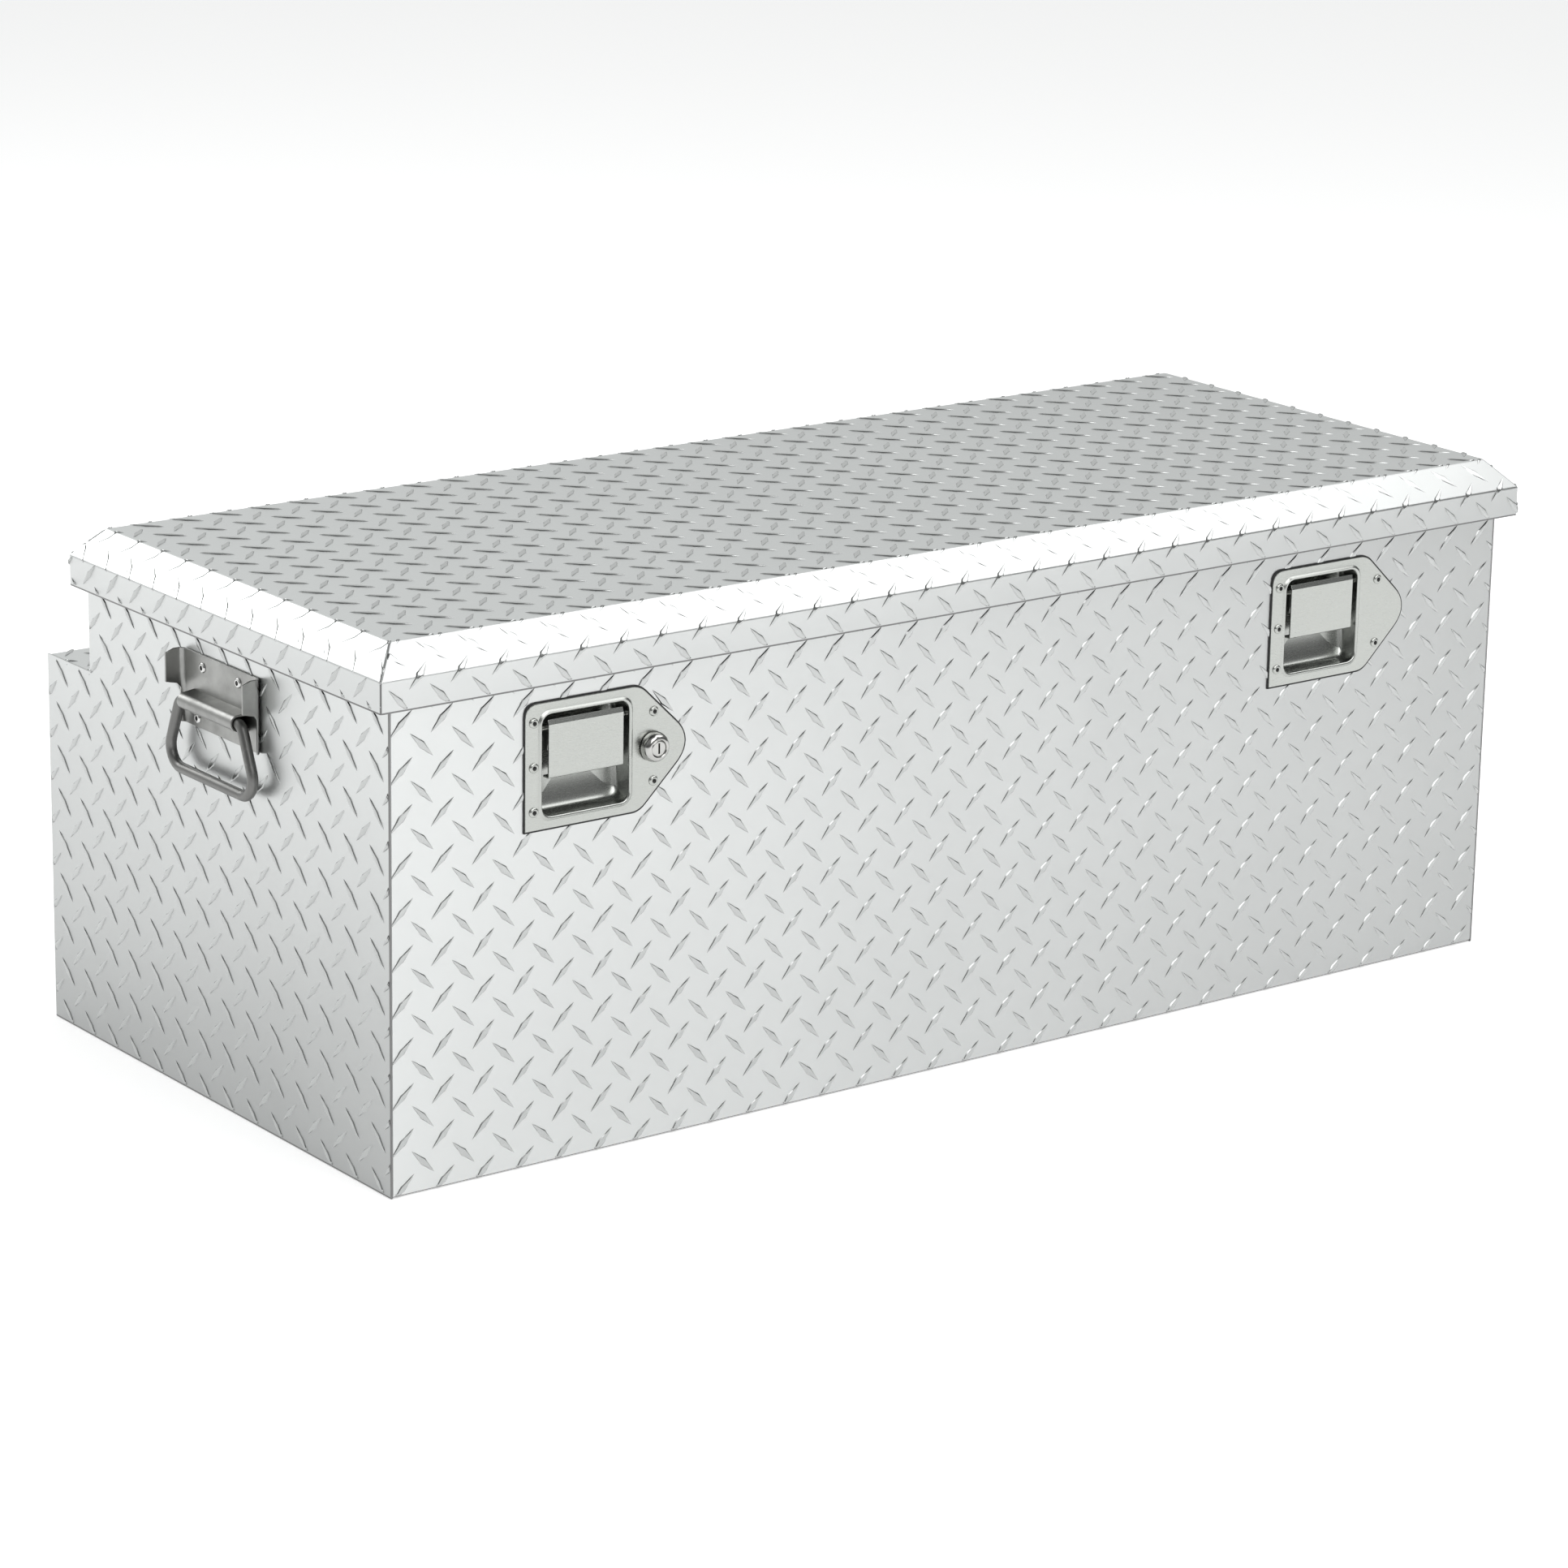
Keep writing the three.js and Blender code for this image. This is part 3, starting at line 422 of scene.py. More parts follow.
# %% [markdown]
# ## The raised lugs
#
# Tread plate is rolled with rows of pointed lugs that lean left and right by turns. Each
# could be only a bump in the material, but they catch the light along their edges and show
# in the outline, so here they are real shapes. One lug is a small closed lens with a
# ridge. It has few faces, because it is repeated more than three thousand times.

# %% One lug
LUG_LENGTH, LUG_HEIGHT, LUG_ROOT = 31.5 * MM, 1.05 * MM, 0.5 * MM
LUG_WIDEST = 3.3
LUG_STATIONS = ((-0.72, 1.15), (-0.36, 2.05), (0.0, LUG_WIDEST), (0.36, 2.05), (0.72, 1.15))
LUG_CREST, LUG_FOOT, LUG_SHOULDER = 0.66, 1.16, 0.78
LUG_TAPER = 0.24


def make_lug():
    """A pointed lens along X that is widest and highest in the middle."""
    points = [(-LUG_LENGTH / 2, 0, 0)]
    for along, half_width in LUG_STATIONS:
        x, w = along * LUG_LENGTH / 2, half_width * MM
        top = LUG_HEIGHT * (1 - LUG_TAPER + LUG_TAPER * half_width / LUG_WIDEST)
        foot, crest, shoulder = w * LUG_FOOT, w * LUG_CREST, top * LUG_SHOULDER
        points += [(x, -foot, -LUG_ROOT), (x, -crest, shoulder), (x, 0, top),
                   (x, crest, shoulder), (x, foot, -LUG_ROOT)]
    points.append((LUG_LENGTH / 2, 0, 0))
    faces = [tuple(i + 1 for i in quad) for quad in ring_faces(len(LUG_STATIONS), 5, False)]
    last = len(points) - 1
    for i in range(5):
        j = (i + 1) % 5
        faces.append((0, 1 + j, 1 + i))
        faces.append((last, last - 5 + i, last - 5 + j))
    return make_object("lug", points, faces)


lug = make_lug()
print("one lug:", len(lug.data.polygons), "faces")

# %% [markdown]
# The lugs lie on two square grids, one half a step along from the other, with the lugs of
# the second grid leaning the other way. Geometry Nodes place them: a point for every lug,
# its row and column worked out from its index, and the lug instanced on it with a very
# small turn and change of width, as worn rolls give. The tree's sizes are named inputs.

# %% A node tree that lays out a field of lugs
PITCH = 39.65 * MM


def end_tree(tree, instances, given, out):
    """Realizes the instances, sets their material and ends the tree."""
    real = add(tree, "GeometryNodeRealizeInstances", {"Geometry": instances})
    paint = add(tree, "GeometryNodeSetMaterial",
                {"Geometry": real.outputs["Geometry"], "Material": given["Material"]})
    fill(tree, out, {"Geometry": paint.outputs["Geometry"]})
    return tree


def random_value(tree, low, high, seed):
    node = add(tree, "FunctionNodeRandomValue", {"Seed": seed}, data_type="FLOAT")
    limits = [socket for socket in node.inputs if socket.type == "VALUE" and socket.enabled]
    limits[0].default_value, limits[1].default_value = low, high
    return next(socket for socket in node.outputs if socket.enabled)


def make_field_tree():
    tree, given, out = new_tree("lug_field", "GeometryNodeTree", {
        "Geometry": "Geometry", "Pitch": PITCH, "Columns": 10, "Rows": 10, "First X": 0.0,
        "First Y": 0.0, "Turn Jitter": 0.02, "Seed": 1, "Material": "Material",
    }, {"Geometry": "Geometry"})
    index = tree.nodes.new("GeometryNodeInputIndex").outputs[0]
    pair = calc(tree, "FLOOR", calc(tree, "MULTIPLY", index, 0.5))
    second = calc(tree, "MODULO", index, 2.0)
    counts = {"X": calc(tree, "MODULO", pair, given["Columns"]),
              "Y": calc(tree, "FLOOR", calc(tree, "DIVIDE", pair, given["Columns"]))}
    spot = add(tree, "ShaderNodeCombineXYZ", {
        axis: calc(tree, "MULTIPLY_ADD", calc(tree, "MULTIPLY_ADD", second, 0.5, count),
                   given["Pitch"], given["First " + axis]) for axis, count in counts.items()})
    pairs = calc(tree, "MULTIPLY", given["Columns"], given["Rows"])
    points = add(tree, "GeometryNodePoints", {"Count": calc(tree, "MULTIPLY", pairs, 2.0),
                                              "Position": spot.outputs[0]})

    lean = calc(tree, "MULTIPLY_ADD", second, -math.pi / 2, math.pi / 4)
    jitter = calc(tree, "MULTIPLY", random_value(tree, -1.0, 1.0, given["Seed"]),
                  given["Turn Jitter"])
    turn = add(tree, "ShaderNodeCombineXYZ", {"Z": calc(tree, "ADD", lean, jitter)})
    width = random_value(tree, 0.9, 1.1, given["Seed"])
    size = add(tree, "ShaderNodeCombineXYZ", {"X": 1.0, "Y": width, "Z": 1.0})
    place = add(tree, "GeometryNodeInstanceOnPoints", {
        "Points": points.outputs[0], "Instance": given["Geometry"],
        "Rotation": turn.outputs[0], "Scale": size.outputs[0]})
    return end_tree(tree, place.outputs[0], given, out)


FIELD_TREE = make_field_tree()


def grown(thing, tree, **values):
    """Runs a tree on an object and makes the result its mesh."""
    modifier = thing.modifiers.new(tree.name, "NODES")
    modifier.node_group = tree
    sockets = {item.name: item for item in tree.interface.items_tree if item.in_out == "INPUT"}
    for label, value in values.items():
        modifier[sockets[label.replace("_", " ")].identifier] = value
    return applied(thing)


def lug_field(name, first, low, high, seed):
    """Lugs that cover a flat rectangle; `first` is the centre of any lug that leans right."""
    start = [low[i] - PITCH + (first[i] - low[i]) % PITCH for i in (0, 1)]
    counts = [int((high[i] - start[i]) / PITCH) + 2 for i in (0, 1)]
    return grown(linked(name, lug.data.copy()), FIELD_TREE, Columns=counts[0], Rows=counts[1],
                 First_X=start[0], First_Y=start[1], Seed=seed, Material=LUG)


print("field tree:", len(FIELD_TREE.nodes), "nodes")

# %% [markdown]
# A real sheet is cut and bent after it is rolled, so lugs are cut through at every edge
# and run over every bend. The field is therefore trimmed while it is still flat: each
# cutting line is a plane through the mesh, and the cut ends are closed again. Then the
# flat field is moved onto its wall, or folded down over the lid's bevel and skirt.

# %% Trim a flat field
def slice_mesh(work, spot, normal, clear=False):
    """Cuts the mesh along an upright plane, and can clear what lies beyond it."""
    everything = work.verts[:] + work.edges[:] + work.faces[:]
    bmesh.ops.bisect_plane(work, geom=everything, dist=MERGE, plane_co=(*spot, 0),
                           plane_no=(*normal, 0), clear_outer=clear)


def close_cuts(work):
    edges = [edge for edge in work.edges if edge.is_boundary]
    bmesh.ops.holes_fill(work, edges=edges, sides=0)


def trim(thing, *lines):
    """Keeps what lies left of each line, given as a point and a direction on the sheet."""
    with editing(thing) as work:
        for spot, (dx, dy) in lines:
            slice_mesh(work, spot, (dy, -dx), clear=True)
            close_cuts(work)
    return thing


def trim_box(thing, low, high):
    """Keeps what lies inside a rectangle."""
    return trim(thing, (low, (1, 0)), (high, (-1, 0)), (low, (0, -1)), (high, (0, 1)))


def clear_box(thing, low, high):
    """Cuts a rectangular window out of the field."""
    with editing(thing) as work:
        for corner in (low, high):
            for normal in ((1, 0), (0, 1)):
                slice_mesh(work, corner, normal)
        inside = []
        for face in work.faces:
            centre = face.calc_center_median()
            if low[0] < centre.x < high[0] and low[1] < centre.y < high[1]:
                inside.append(face)
        bmesh.ops.delete(work, geom=inside, context="FACES")
        close_cuts(work)
    return thing


def put_on(thing, origin, along, up):
    """Moves a flat field onto a wall: x runs along it, y up it and z out of it."""
    along, up = Vector(along), Vector(up)
    turn = Matrix((along, up, along.cross(up))).transposed().to_4x4()
    thing.data.transform(Matrix.Translation(origin) @ turn)
    return thing


# %% [markdown]
# The chest has six sheets with lugs: the front, the two ends, and behind the lid the lower
# rear wall, the ledge and the strip of upper wall below the hinge. The front has two
# windows for the latches and the ends are notched like the chest. The hinge's leaf and the
# chest's underside lie flat on other things, so they carry none.

# %% The windows behind the latches
WELL_INSET, WELL_SIZE, WINDOW_MARGIN = 16 * MM, 87 * MM, 2 * MM
windows = []
for side in SIDES:
    plate_low, plate_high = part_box(f"latch_plate_{side}")
    low = Vector((plate_low.x + WELL_INSET + HALF,
                  (plate_low.z + plate_high.z) / 2 - WELL_SIZE / 2))
    margin = Vector((WINDOW_MARGIN, WINDOW_MARGIN))
    windows.append((low - margin, low + Vector((WELL_SIZE, WELL_SIZE)) + margin))

# %% The chest's lugs
EDGE = 2.2 * MM
FRONT_FIRST = (11.2 * MM, 6.8 * MM)
END_FIRST = (39.0 * MM, 187.0 * MM)
NOTCH = REAR_Y - UPPER_REAR_Y
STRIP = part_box("hinge_leaf_body")[0].z - LEDGE_Z


def lug_sheet(name, first, size, seed, origin, along, up, top_edge=EDGE, holes=()):
    """Lugs on one wall of the chest, kept back from its edges and out of its holes."""
    field = lug_field(name, first, (0, 0), size, seed)
    trim_box(field, (EDGE, EDGE), (size[0] - EDGE, size[1] - top_edge))
    for low, high in holes:
        clear_box(field, low, high)
    return put_on(field, origin, along, up)


front = lug_sheet("front_lugs", FRONT_FIRST, (LENGTH, RIM_Z), 1, (-HALF, FRONT_Y, 0),
                  (1, 0, 0), (0, 0, 1), holes=windows)
lower = lug_sheet("lower_rear_lugs", FRONT_FIRST, (LENGTH, LEDGE_Z), 2, (HALF, REAR_Y, 0),
                  (-1, 0, 0), (0, 0, 1))
ledge = lug_sheet("ledge_lugs", FRONT_FIRST, (LENGTH, NOTCH), 3, (HALF, REAR_Y, LEDGE_Z),
                  (-1, 0, 0), (0, -1, 0))
upper = lug_sheet("upper_rear_lugs", FRONT_FIRST, (LENGTH, STRIP), 4,
                  (HALF, UPPER_REAR_Y, LEDGE_Z), (-1, 0, 0), (0, 0, 1), top_edge=0)
chest_fields = [front, joined("rear_lugs", [lower, ledge, upper])]
for side, sign in SIDES.items():
    right = side == "right"
    first = END_FIRST if right else (DEPTH - END_FIRST[0], END_FIRST[1])
    notch_start = DEPTH - NOTCH - EDGE if right else 0
    notch = (notch_start, LEDGE_Z - EDGE), (notch_start + NOTCH + EDGE, RIM_Z)
    chest_fields.append(lug_sheet(
        f"end_lugs_{side}", first, (DEPTH, RIM_Z), 5 + sign,
        (sign * HALF, FRONT_Y if right else REAR_Y, 0), (0, sign, 0), (0, 0, 1), holes=[notch]))
for field in chest_fields:
    piece(field, "chest", LUG)

# %% [markdown]
# The lid's pattern runs over the crest, down the bevel and down the skirt. On the front and
# the rear it starts half a step further out, so that whole lugs hang in the skirt.
# Five copies of one flat field are trimmed to the top and the four flaps, with slanted
# cuts where two flaps meet at a corner, and the flaps are cut once more along the bend
# before they are folded.

# %% Fold a flap of lugs
SKIRT = BEVEL_Z - lid_low.z
LID_FIRST = (CREST_LOW.x + 14 * MM, CREST_LOW.y + 26 * MM)
PRESSED = 0.5
ON_LINE = 1e-5


def fold_flap(thing, crest, outward):
    """Folds a flat flap down over the bevel, where its lugs are pressed flatter."""
    rise, level = Vector((0, 0, 1)), outward.to_3d()
    slope = (level * BEVEL_RUN - rise * BEVEL_RISE).normalized()
    bevel_normal = (level * BEVEL_RISE + rise * BEVEL_RUN).normalized()
    upper_mitre = (rise + bevel_normal) / (1 + rise.dot(bevel_normal))
    lower_mitre = (level + bevel_normal) / (1 + level.dot(bevel_normal))
    with editing(thing) as work:
        slice_mesh(work, crest + outward * BEVEL_LENGTH, outward)
        for vert in work.verts:
            run, height = (vert.co.xy - crest).dot(outward), vert.co.z
            foot = Vector((*(vert.co.xy - outward * run), lid_high.z))
            if run < ON_LINE:
                vert.co = foot + upper_mitre * height
            elif run < BEVEL_LENGTH - ON_LINE:
                vert.co = foot + slope * run + bevel_normal * height * PRESSED
            else:
                normal = lower_mitre if run < BEVEL_LENGTH + ON_LINE else level
                drop = run - BEVEL_LENGTH
                vert.co = foot + slope * BEVEL_LENGTH - rise * drop + normal * height
    return thing


def lid_flap(name, start, end, outward, reach):
    """One flap of the lid, between two crest corners that run anticlockwise."""
    along, out = (end - start).normalized(), Vector(outward)
    corner_a = start + out * BEVEL_LENGTH - along * BEVEL_RUN
    corner_b = end + out * BEVEL_LENGTH + along * BEVEL_RUN
    spots = [start - along * BEVEL_RUN, end + along * BEVEL_RUN, start + out * reach,
             end + out * reach]
    low = [min(spot[i] for spot in spots) for i in (0, 1)]
    high = [max(spot[i] for spot in spots) for i in (0, 1)]
    first = (LID_FIRST[0], LID_FIRST[1] + abs(out.y) * PITCH / 2)
    field = lug_field(name, first, low, high, LID_SEED)
    trim(field, (end, -along), (start + out * (reach - EDGE), along),
         (corner_a, corner_a - start), (corner_a, out), (corner_b, end - corner_b),
         (corner_b, -out))
    return fold_flap(field, start, out)


# %% The lid's lugs
LID_SEED = 9
top = lug_field("top", LID_FIRST, CREST_LOW, CREST_HIGH, LID_SEED)
trim_box(top, CREST_LOW, CREST_HIGH)
put_on(top, (0, 0, lid_high.z), (1, 0, 0), (0, 1, 0))
front_left, rear_right = Vector(CREST_LOW), Vector(CREST_HIGH)
front_right = Vector((CREST_HIGH.x, CREST_LOW.y))
rear_left = Vector((CREST_LOW.x, CREST_HIGH.y))
full = BEVEL_LENGTH + SKIRT
flaps = [lid_flap("front", front_left, front_right, (0, -1), full),
         lid_flap("right", front_right, rear_right, (1, 0), full),
         lid_flap("rear", rear_right, rear_left, (0, 1), BEVEL_LENGTH),
         lid_flap("left", rear_left, front_left, (-1, 0), full)]
piece(joined("lid_lugs", [top, *flaps]), "lid", LUG)
bpy.data.objects.remove(lug)
# %% [markdown]
# ## The lid's sheet
#
# The lid is a shallow tray turned over: a flat top, a bevel on all four sides and a
# vertical skirt. In the measured model its bends are sharp. A press brake leaves a bend
# with a radius, and that radius draws the bright lines round a lid, so the sheet is lofted
# again from the same sizes with round bends. Close rings beside each bend keep the flat
# parts flat in shading.

# %% Arcs and rounded outlines
def arc(centre, radius, start, end, steps):
    """Points on an arc, both ends included, with angles in degrees."""
    turns = [math.radians(start + (end - start) * i / steps) for i in range(steps + 1)]
    return [Vector((centre[0] + radius * math.cos(turn), centre[1] + radius * math.sin(turn)))
            for turn in turns]


def rounded(low, high, radius, steps):
    """A rectangle with round corners, anticlockwise from the bottom of its right side."""
    left, right = low[0] + radius, high[0] - radius
    bottom, top = low[1] + radius, high[1] - radius
    centres = ((right, bottom), (right, top), (left, top), (left, bottom))
    return [point for i, centre in enumerate(centres)
            for point in arc(centre, radius, 90 * (i - 1), 90 * i, steps)]


BEND_SUPPORT = 0.5 * MM


def round_corner(before, corner, after, radius, steps):
    """A bend between two straight runs, with a support point on each side of it."""
    before, corner, after = Vector(before), Vector(corner), Vector(after)
    back, ahead = (before - corner).normalized(), (after - corner).normalized()
    half = back.angle(ahead) / 2
    reach = radius / math.tan(half)
    pivot = corner + (back + ahead).normalized() * radius / math.sin(half)
    first, last = corner + back * reach - pivot, corner + ahead * reach - pivot
    sweep = math.atan2(first.x * last.y - first.y * last.x, first.dot(last))
    points = [corner + back * (reach + BEND_SUPPORT)]
    for i in range(steps + 1):
        turn = sweep * i / steps
        cos, sin = math.cos(turn), math.sin(turn)
        points.append(pivot + Vector((first.x * cos - first.y * sin,
                                      first.x * sin + first.y * cos)))
    points.append(corner + ahead * (reach + BEND_SUPPORT))
    return points


def rounded_path(corners, radius, steps=5):
    """An open path whose inner corners are bent to a radius."""
    path = [Vector(corners[0])]
    for before, corner, after in zip(corners, corners[1:], corners[2:]):
        path += round_corner(before, corner, after, radius, steps)
    return path + [Vector(corners[-1])]


# %% The lid's skin
BEND_R, CORNER_R = 3.2 * MM, 2.2 * MM
FLAT_RUN = 30 * MM


def make_lid_skin():
    """Rings of a rectangle that shrinks inwards along the section of the sheet."""
    outer = rounded_path([(0, lid_low.z), (0, BEVEL_Z), (BEVEL_RUN, lid_high.z),
                          (BEVEL_RUN + FLAT_RUN, lid_high.z)], BEND_R)
    inner = []
    for i, point in enumerate(outer):
        before, after = outer[max(i - 1, 0)], outer[min(i + 1, len(outer) - 1)]
        along = (after - before).normalized()
        inner.append(point + Vector((along.y, -along.x)) * SHEET)
    section = [*reversed(inner), *outer]
    points = []
    for inset, z in section:
        low = (lid_low.x + inset, lid_low.y + inset)
        high = (lid_high.x - inset, lid_high.y - inset)
        points += [(x, y, z) for x, y in rounded(low, high, CORNER_R, 3)]
    sides = len(points) // len(section)
    return make_object("lid_sheet", points, ring_faces(len(section), sides))


piece(make_lid_skin(), "lid", LID_TREAD, ["lid_skin"])
# %% [markdown]
# ## The paddle latches
#
# Each latch is a pressed stainless plate with one square end and one pointed end. A deep
# well is drawn into it, with a rolled edge at its mouth, and the paddle closes its upper
# half. All of it is made in the wall's own axes, u to the right, v up and w outwards, and
# then stood on the front wall.

# %% The plate's outline
left_low, left_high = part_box("latch_plate_left")
PLATE_LENGTH, PLATE_HEIGHT = left_high.x - left_low.x, left_high.z - left_low.z
PLATE_FACE, PLATE_SHEET = 2.4 * MM, 1.2 * MM
SHOULDER_U, SHOULDER_V = (106 * MM, 114 * MM, 120 * MM), 6 * MM
NOSE_U, NOSE_V, NOSE_BEND = 150 * MM, 19 * MM, 10 * MM
TOP_CORNER = 12 * MM


def stood_on_front(thing, side):
    """Moves a mesh from the latch's own axes onto the front wall."""
    low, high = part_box(f"latch_plate_{side}")
    return put_on(thing, (low.x, FRONT_Y, (low.z + high.z) / 2), (1, 0, 0), (0, 0, 1))


def bezier(start, control, end, steps=5):
    """Points on a quadratic curve, without its first point."""
    start, control, end = Vector(start), Vector(control), Vector(end)
    spots = [(i + 1) / steps for i in range(steps)]
    return [start * (1 - t) ** 2 + control * 2 * t * (1 - t) + end * t * t for t in spots]


def plate_outline(margin):
    """The plate's edge grown by a margin: square at the left, pointed at the right."""
    half, tip = PLATE_HEIGHT / 2 + margin, PLATE_LENGTH + margin
    lean = margin * math.tan(math.pi / 8)
    start, bend, end = (u + lean for u in SHOULDER_U)
    nose_u, nose_v = NOSE_U + margin, NOSE_V + lean
    points = [Vector((-margin, -half)), Vector((start, -half))]
    points += bezier(points[-1], (bend, -half), (end, -half + SHOULDER_V))
    points.append(Vector((nose_u, -nose_v)))
    points += bezier(points[-1], (tip, -NOSE_BEND), (tip, 0))
    points += bezier(points[-1], (tip, NOSE_BEND), (nose_u, nose_v))
    points.append(Vector((end, half - SHOULDER_V)))
    points += bezier(points[-1], (bend, half), (start, half))
    points.append(Vector((TOP_CORNER - margin, half)))
    points += bezier(points[-1], (-margin, half), (-margin, half - TOP_CORNER))
    return points


# %% [markdown]
# The plate's face is one flat sheet with a hole, so it is filled between two loops. The
# well below it is a stack of rounded squares: first over the rolled edge of the mouth,
# then down the wall and in over the floor. How deep each point goes depends on its height
# in the well, because the floor sweeps up to the lower edge and leaves room for fingers.

# %% The well's sections
# WELL_MOUTH has insets and heights over the face in mm, WELL_WALL insets in mm and shares
# of the well's depth.
WELL_MOUTH = [(-4.2, 0.0), (-3.7, 0.05), (-2.9, 0.8), (-1.9, 1.45), (-1.1, 1.4), (-0.4, 0.9),
              (0.05, 0.1), (0.1, -1.0)]
WELL_WALL = [(0.0, 0.10), (0.0, 0.45), (0.3, 0.72), (1.2, 0.88), (3.0, 0.97),
             *((inset, 1.0) for inset in (5.5, 9.0, 14.0, 20.0, 26.0, 32.0, 38.0, 42.5))]
WELL_DEPTH, WELL_CORNER, SMALLEST_CORNER = 20 * MM, 9 * MM, 0.8 * MM
SWEEP_TOP, SWEEP_RISE = -4 * MM, 0.38


def well_floor(v):
    """How deep the well is at a height, as a share of its full depth."""
    below = (SWEEP_TOP - v) / (SWEEP_TOP + WELL_SIZE / 2)
    return 1.0 - SWEEP_RISE * max(0.0, min(1.0, below)) ** 2


def well_ring(inset, depth_of):
    """One rounded square of the well; its depth is a function of v."""
    inset *= MM
    low = (WELL_INSET + inset, -WELL_SIZE / 2 + inset)
    high = (WELL_INSET + WELL_SIZE - inset, WELL_SIZE / 2 - inset)
    radius = max(WELL_CORNER - inset * 0.6, SMALLEST_CORNER)
    return [(*point, depth_of(point.y)) for point in rounded(low, high, radius, 5)]


# %% The plate with its well
# Margins and depths below the face, in mm, of the loops that round the plate's edge.
PLATE_EDGE = ((0.0, 1.0), (0.0, 0.5), (-0.15, 0.15), (-0.5, 0.0), (-1.0, 0.0))


def loop_edges(work, loop):
    return [work.edges.get((vert, after)) for vert, after in zip(loop, loop[1:] + loop[:1])]


def make_latch_plate(side):
    rings = [well_ring(inset, lambda v, w=w: PLATE_FACE + w * MM) for inset, w in WELL_MOUTH]
    rings += [well_ring(inset, lambda v, share=share: -WELL_DEPTH * share * well_floor(v))
              for inset, share in WELL_WALL]
    sides = len(rings[0])
    plate = linked(f"latch_face_{side}", bpy.data.meshes.new("plate"))
    with editing(plate) as work:
        verts = [work.verts.new(point) for ring in rings for point in ring]
        for face in ring_faces(len(rings), sides, False):
            work.faces.new([verts[i] for i in face])
        work.faces.new(verts[-sides:])
        rims = [[work.verts.new((*point, PLATE_FACE - below * MM))
                 for point in plate_outline(margin * MM)] for margin, below in PLATE_EDGE]
        for low, high in zip(rims, rims[1:]):
            for i in range(len(low)):
                j = (i + 1) % len(low)
                work.faces.new((low[i], low[j], high[j], high[i]))
        bmesh.ops.triangle_fill(work, use_beauty=True, edges=loop_edges(work, verts[:sides])
                                + loop_edges(work, rims[-1]))
        bmesh.ops.recalc_face_normals(work, faces=work.faces)
    thick = plate.modifiers.new("thickness", "SOLIDIFY")
    thick.thickness, thick.offset = PLATE_SHEET, -1
    return finish_mesh(applied(plate))


def cut_away(thing, cutter):
    """Cuts a solid out of a closed mesh."""
    step = thing.modifiers.new("cut", "BOOLEAN")
    step.operation, step.solver, step.object = "DIFFERENCE", "EXACT", cutter
    applied(thing)
    bpy.data.objects.remove(cutter)
    return finish_mesh(thing)


def mm_points(*spots):
    return [tuple(value * MM for value in spot) for spot in spots]


def block(low, high):
    """A box from two corners in mm, to cut with or as a flat tab that gets soft edges."""
    points = [(x, y, z) for z in (low[2], high[2]) for x, y in (
        (low[0], low[1]), (high[0], low[1]), (high[0], high[1]), (low[0], high[1]))]
    return make_object("block", mm_points(*points), ring_faces(2, 4))


BOLT_U = 60  # in mm, as `block` takes it
for side in SIDES:
    plate = make_latch_plate(side)
    cut_away(plate, block((BOLT_U - 6.5, 12, -30), (BOLT_U + 6.5, 22, -10)))
    piece(stood_on_front(plate, side), "chest", STAINLESS, [f"latch_plate_{side}"])

# %% [markdown]
# The paddle is a strip bent over at its lower edge, where the fingers pull, with a shallow
# crease near its top. Two cheeks fold back to the pivot pin and a web behind it hooks the
# bolt. Each sheet part gets slightly rounded edges from a bevel.

# %% Strips and rounded edges
def strip_outline(corners, thickness, radius, steps=5):
    """The closed outline of a sheet whose centreline bends at its corners."""
    centre = rounded_path(corners, radius, steps)
    left, right = [], []
    for i, point in enumerate(centre):
        along = (centre[min(i + 1, len(centre) - 1)] - centre[max(i - 1, 0)]).normalized()
        across = Vector((-along.y, along.x)) * thickness / 2
        left.append(point + across)
        right.append(point - across)
    return left + right[::-1]


def drawn_out(name, outline, low, high, axes):
    """An outline in the first two axes, drawn out along the third."""
    order = [axes.index(letter) for letter in "uvw"]
    points = [[(a, b, depth)[i] for i in order] for depth in (low, high) for a, b in outline]
    return make_object(name, points, ring_faces(2, len(outline)))


def soft_edges(thing, width):
    """Rounds the sharp edges by a width in mm, and keeps flat faces flat in shading."""
    step = thing.modifiers.new("soft edges", "BEVEL")
    step.width, step.segments = width * MM, 2
    step.limit_method, step.angle_limit = "ANGLE", math.radians(40)
    step.harden_normals = False
    applied(thing)
    for face in thing.data.polygons:
        face.use_smooth = True
    weigh = thing.modifiers.new("flat faces", "WEIGHTED_NORMAL")
    weigh.keep_sharp = True
    return applied(thing)


# %% The paddles
PADDLE_LOW, PADDLE_HIGH, CHEEK_T = 23, 97.5, 2  # in mm


def make_paddle(side):
    bent = mm_points((38, 0.1), (34, 1.6), (-11, 1.6), (-11, -6))
    skin = strip_outline(bent, 1.8 * MM, 1.2 * MM)
    parts = [soft_edges(drawn_out("skin", skin, PADDLE_LOW * MM, PADDLE_HIGH * MM, "vwu"), 0.5)]
    cheek = mm_points((34, 1), (18, 1), (12, 0), (12, -12), (26, -12), (34, -8))
    for start in (PADDLE_LOW, PADDLE_HIGH - CHEEK_T):
        parts.append(soft_edges(
            drawn_out("cheek", cheek, start * MM, (start + CHEEK_T) * MM, "vwu"), 0.3))
    for start, end in ((PADDLE_LOW, BOLT_U - 7), (BOLT_U + 7, PADDLE_HIGH)):
        parts.append(soft_edges(block((start, 12, -12), (end, 22, -10)), 0.3))
    return joined(f"paddle_{side}", parts)


for side in SIDES:
    name = f"latch_paddle_{side}"
    piece(stood_on_front(make_paddle(side), side), name, STAINLESS, [name])

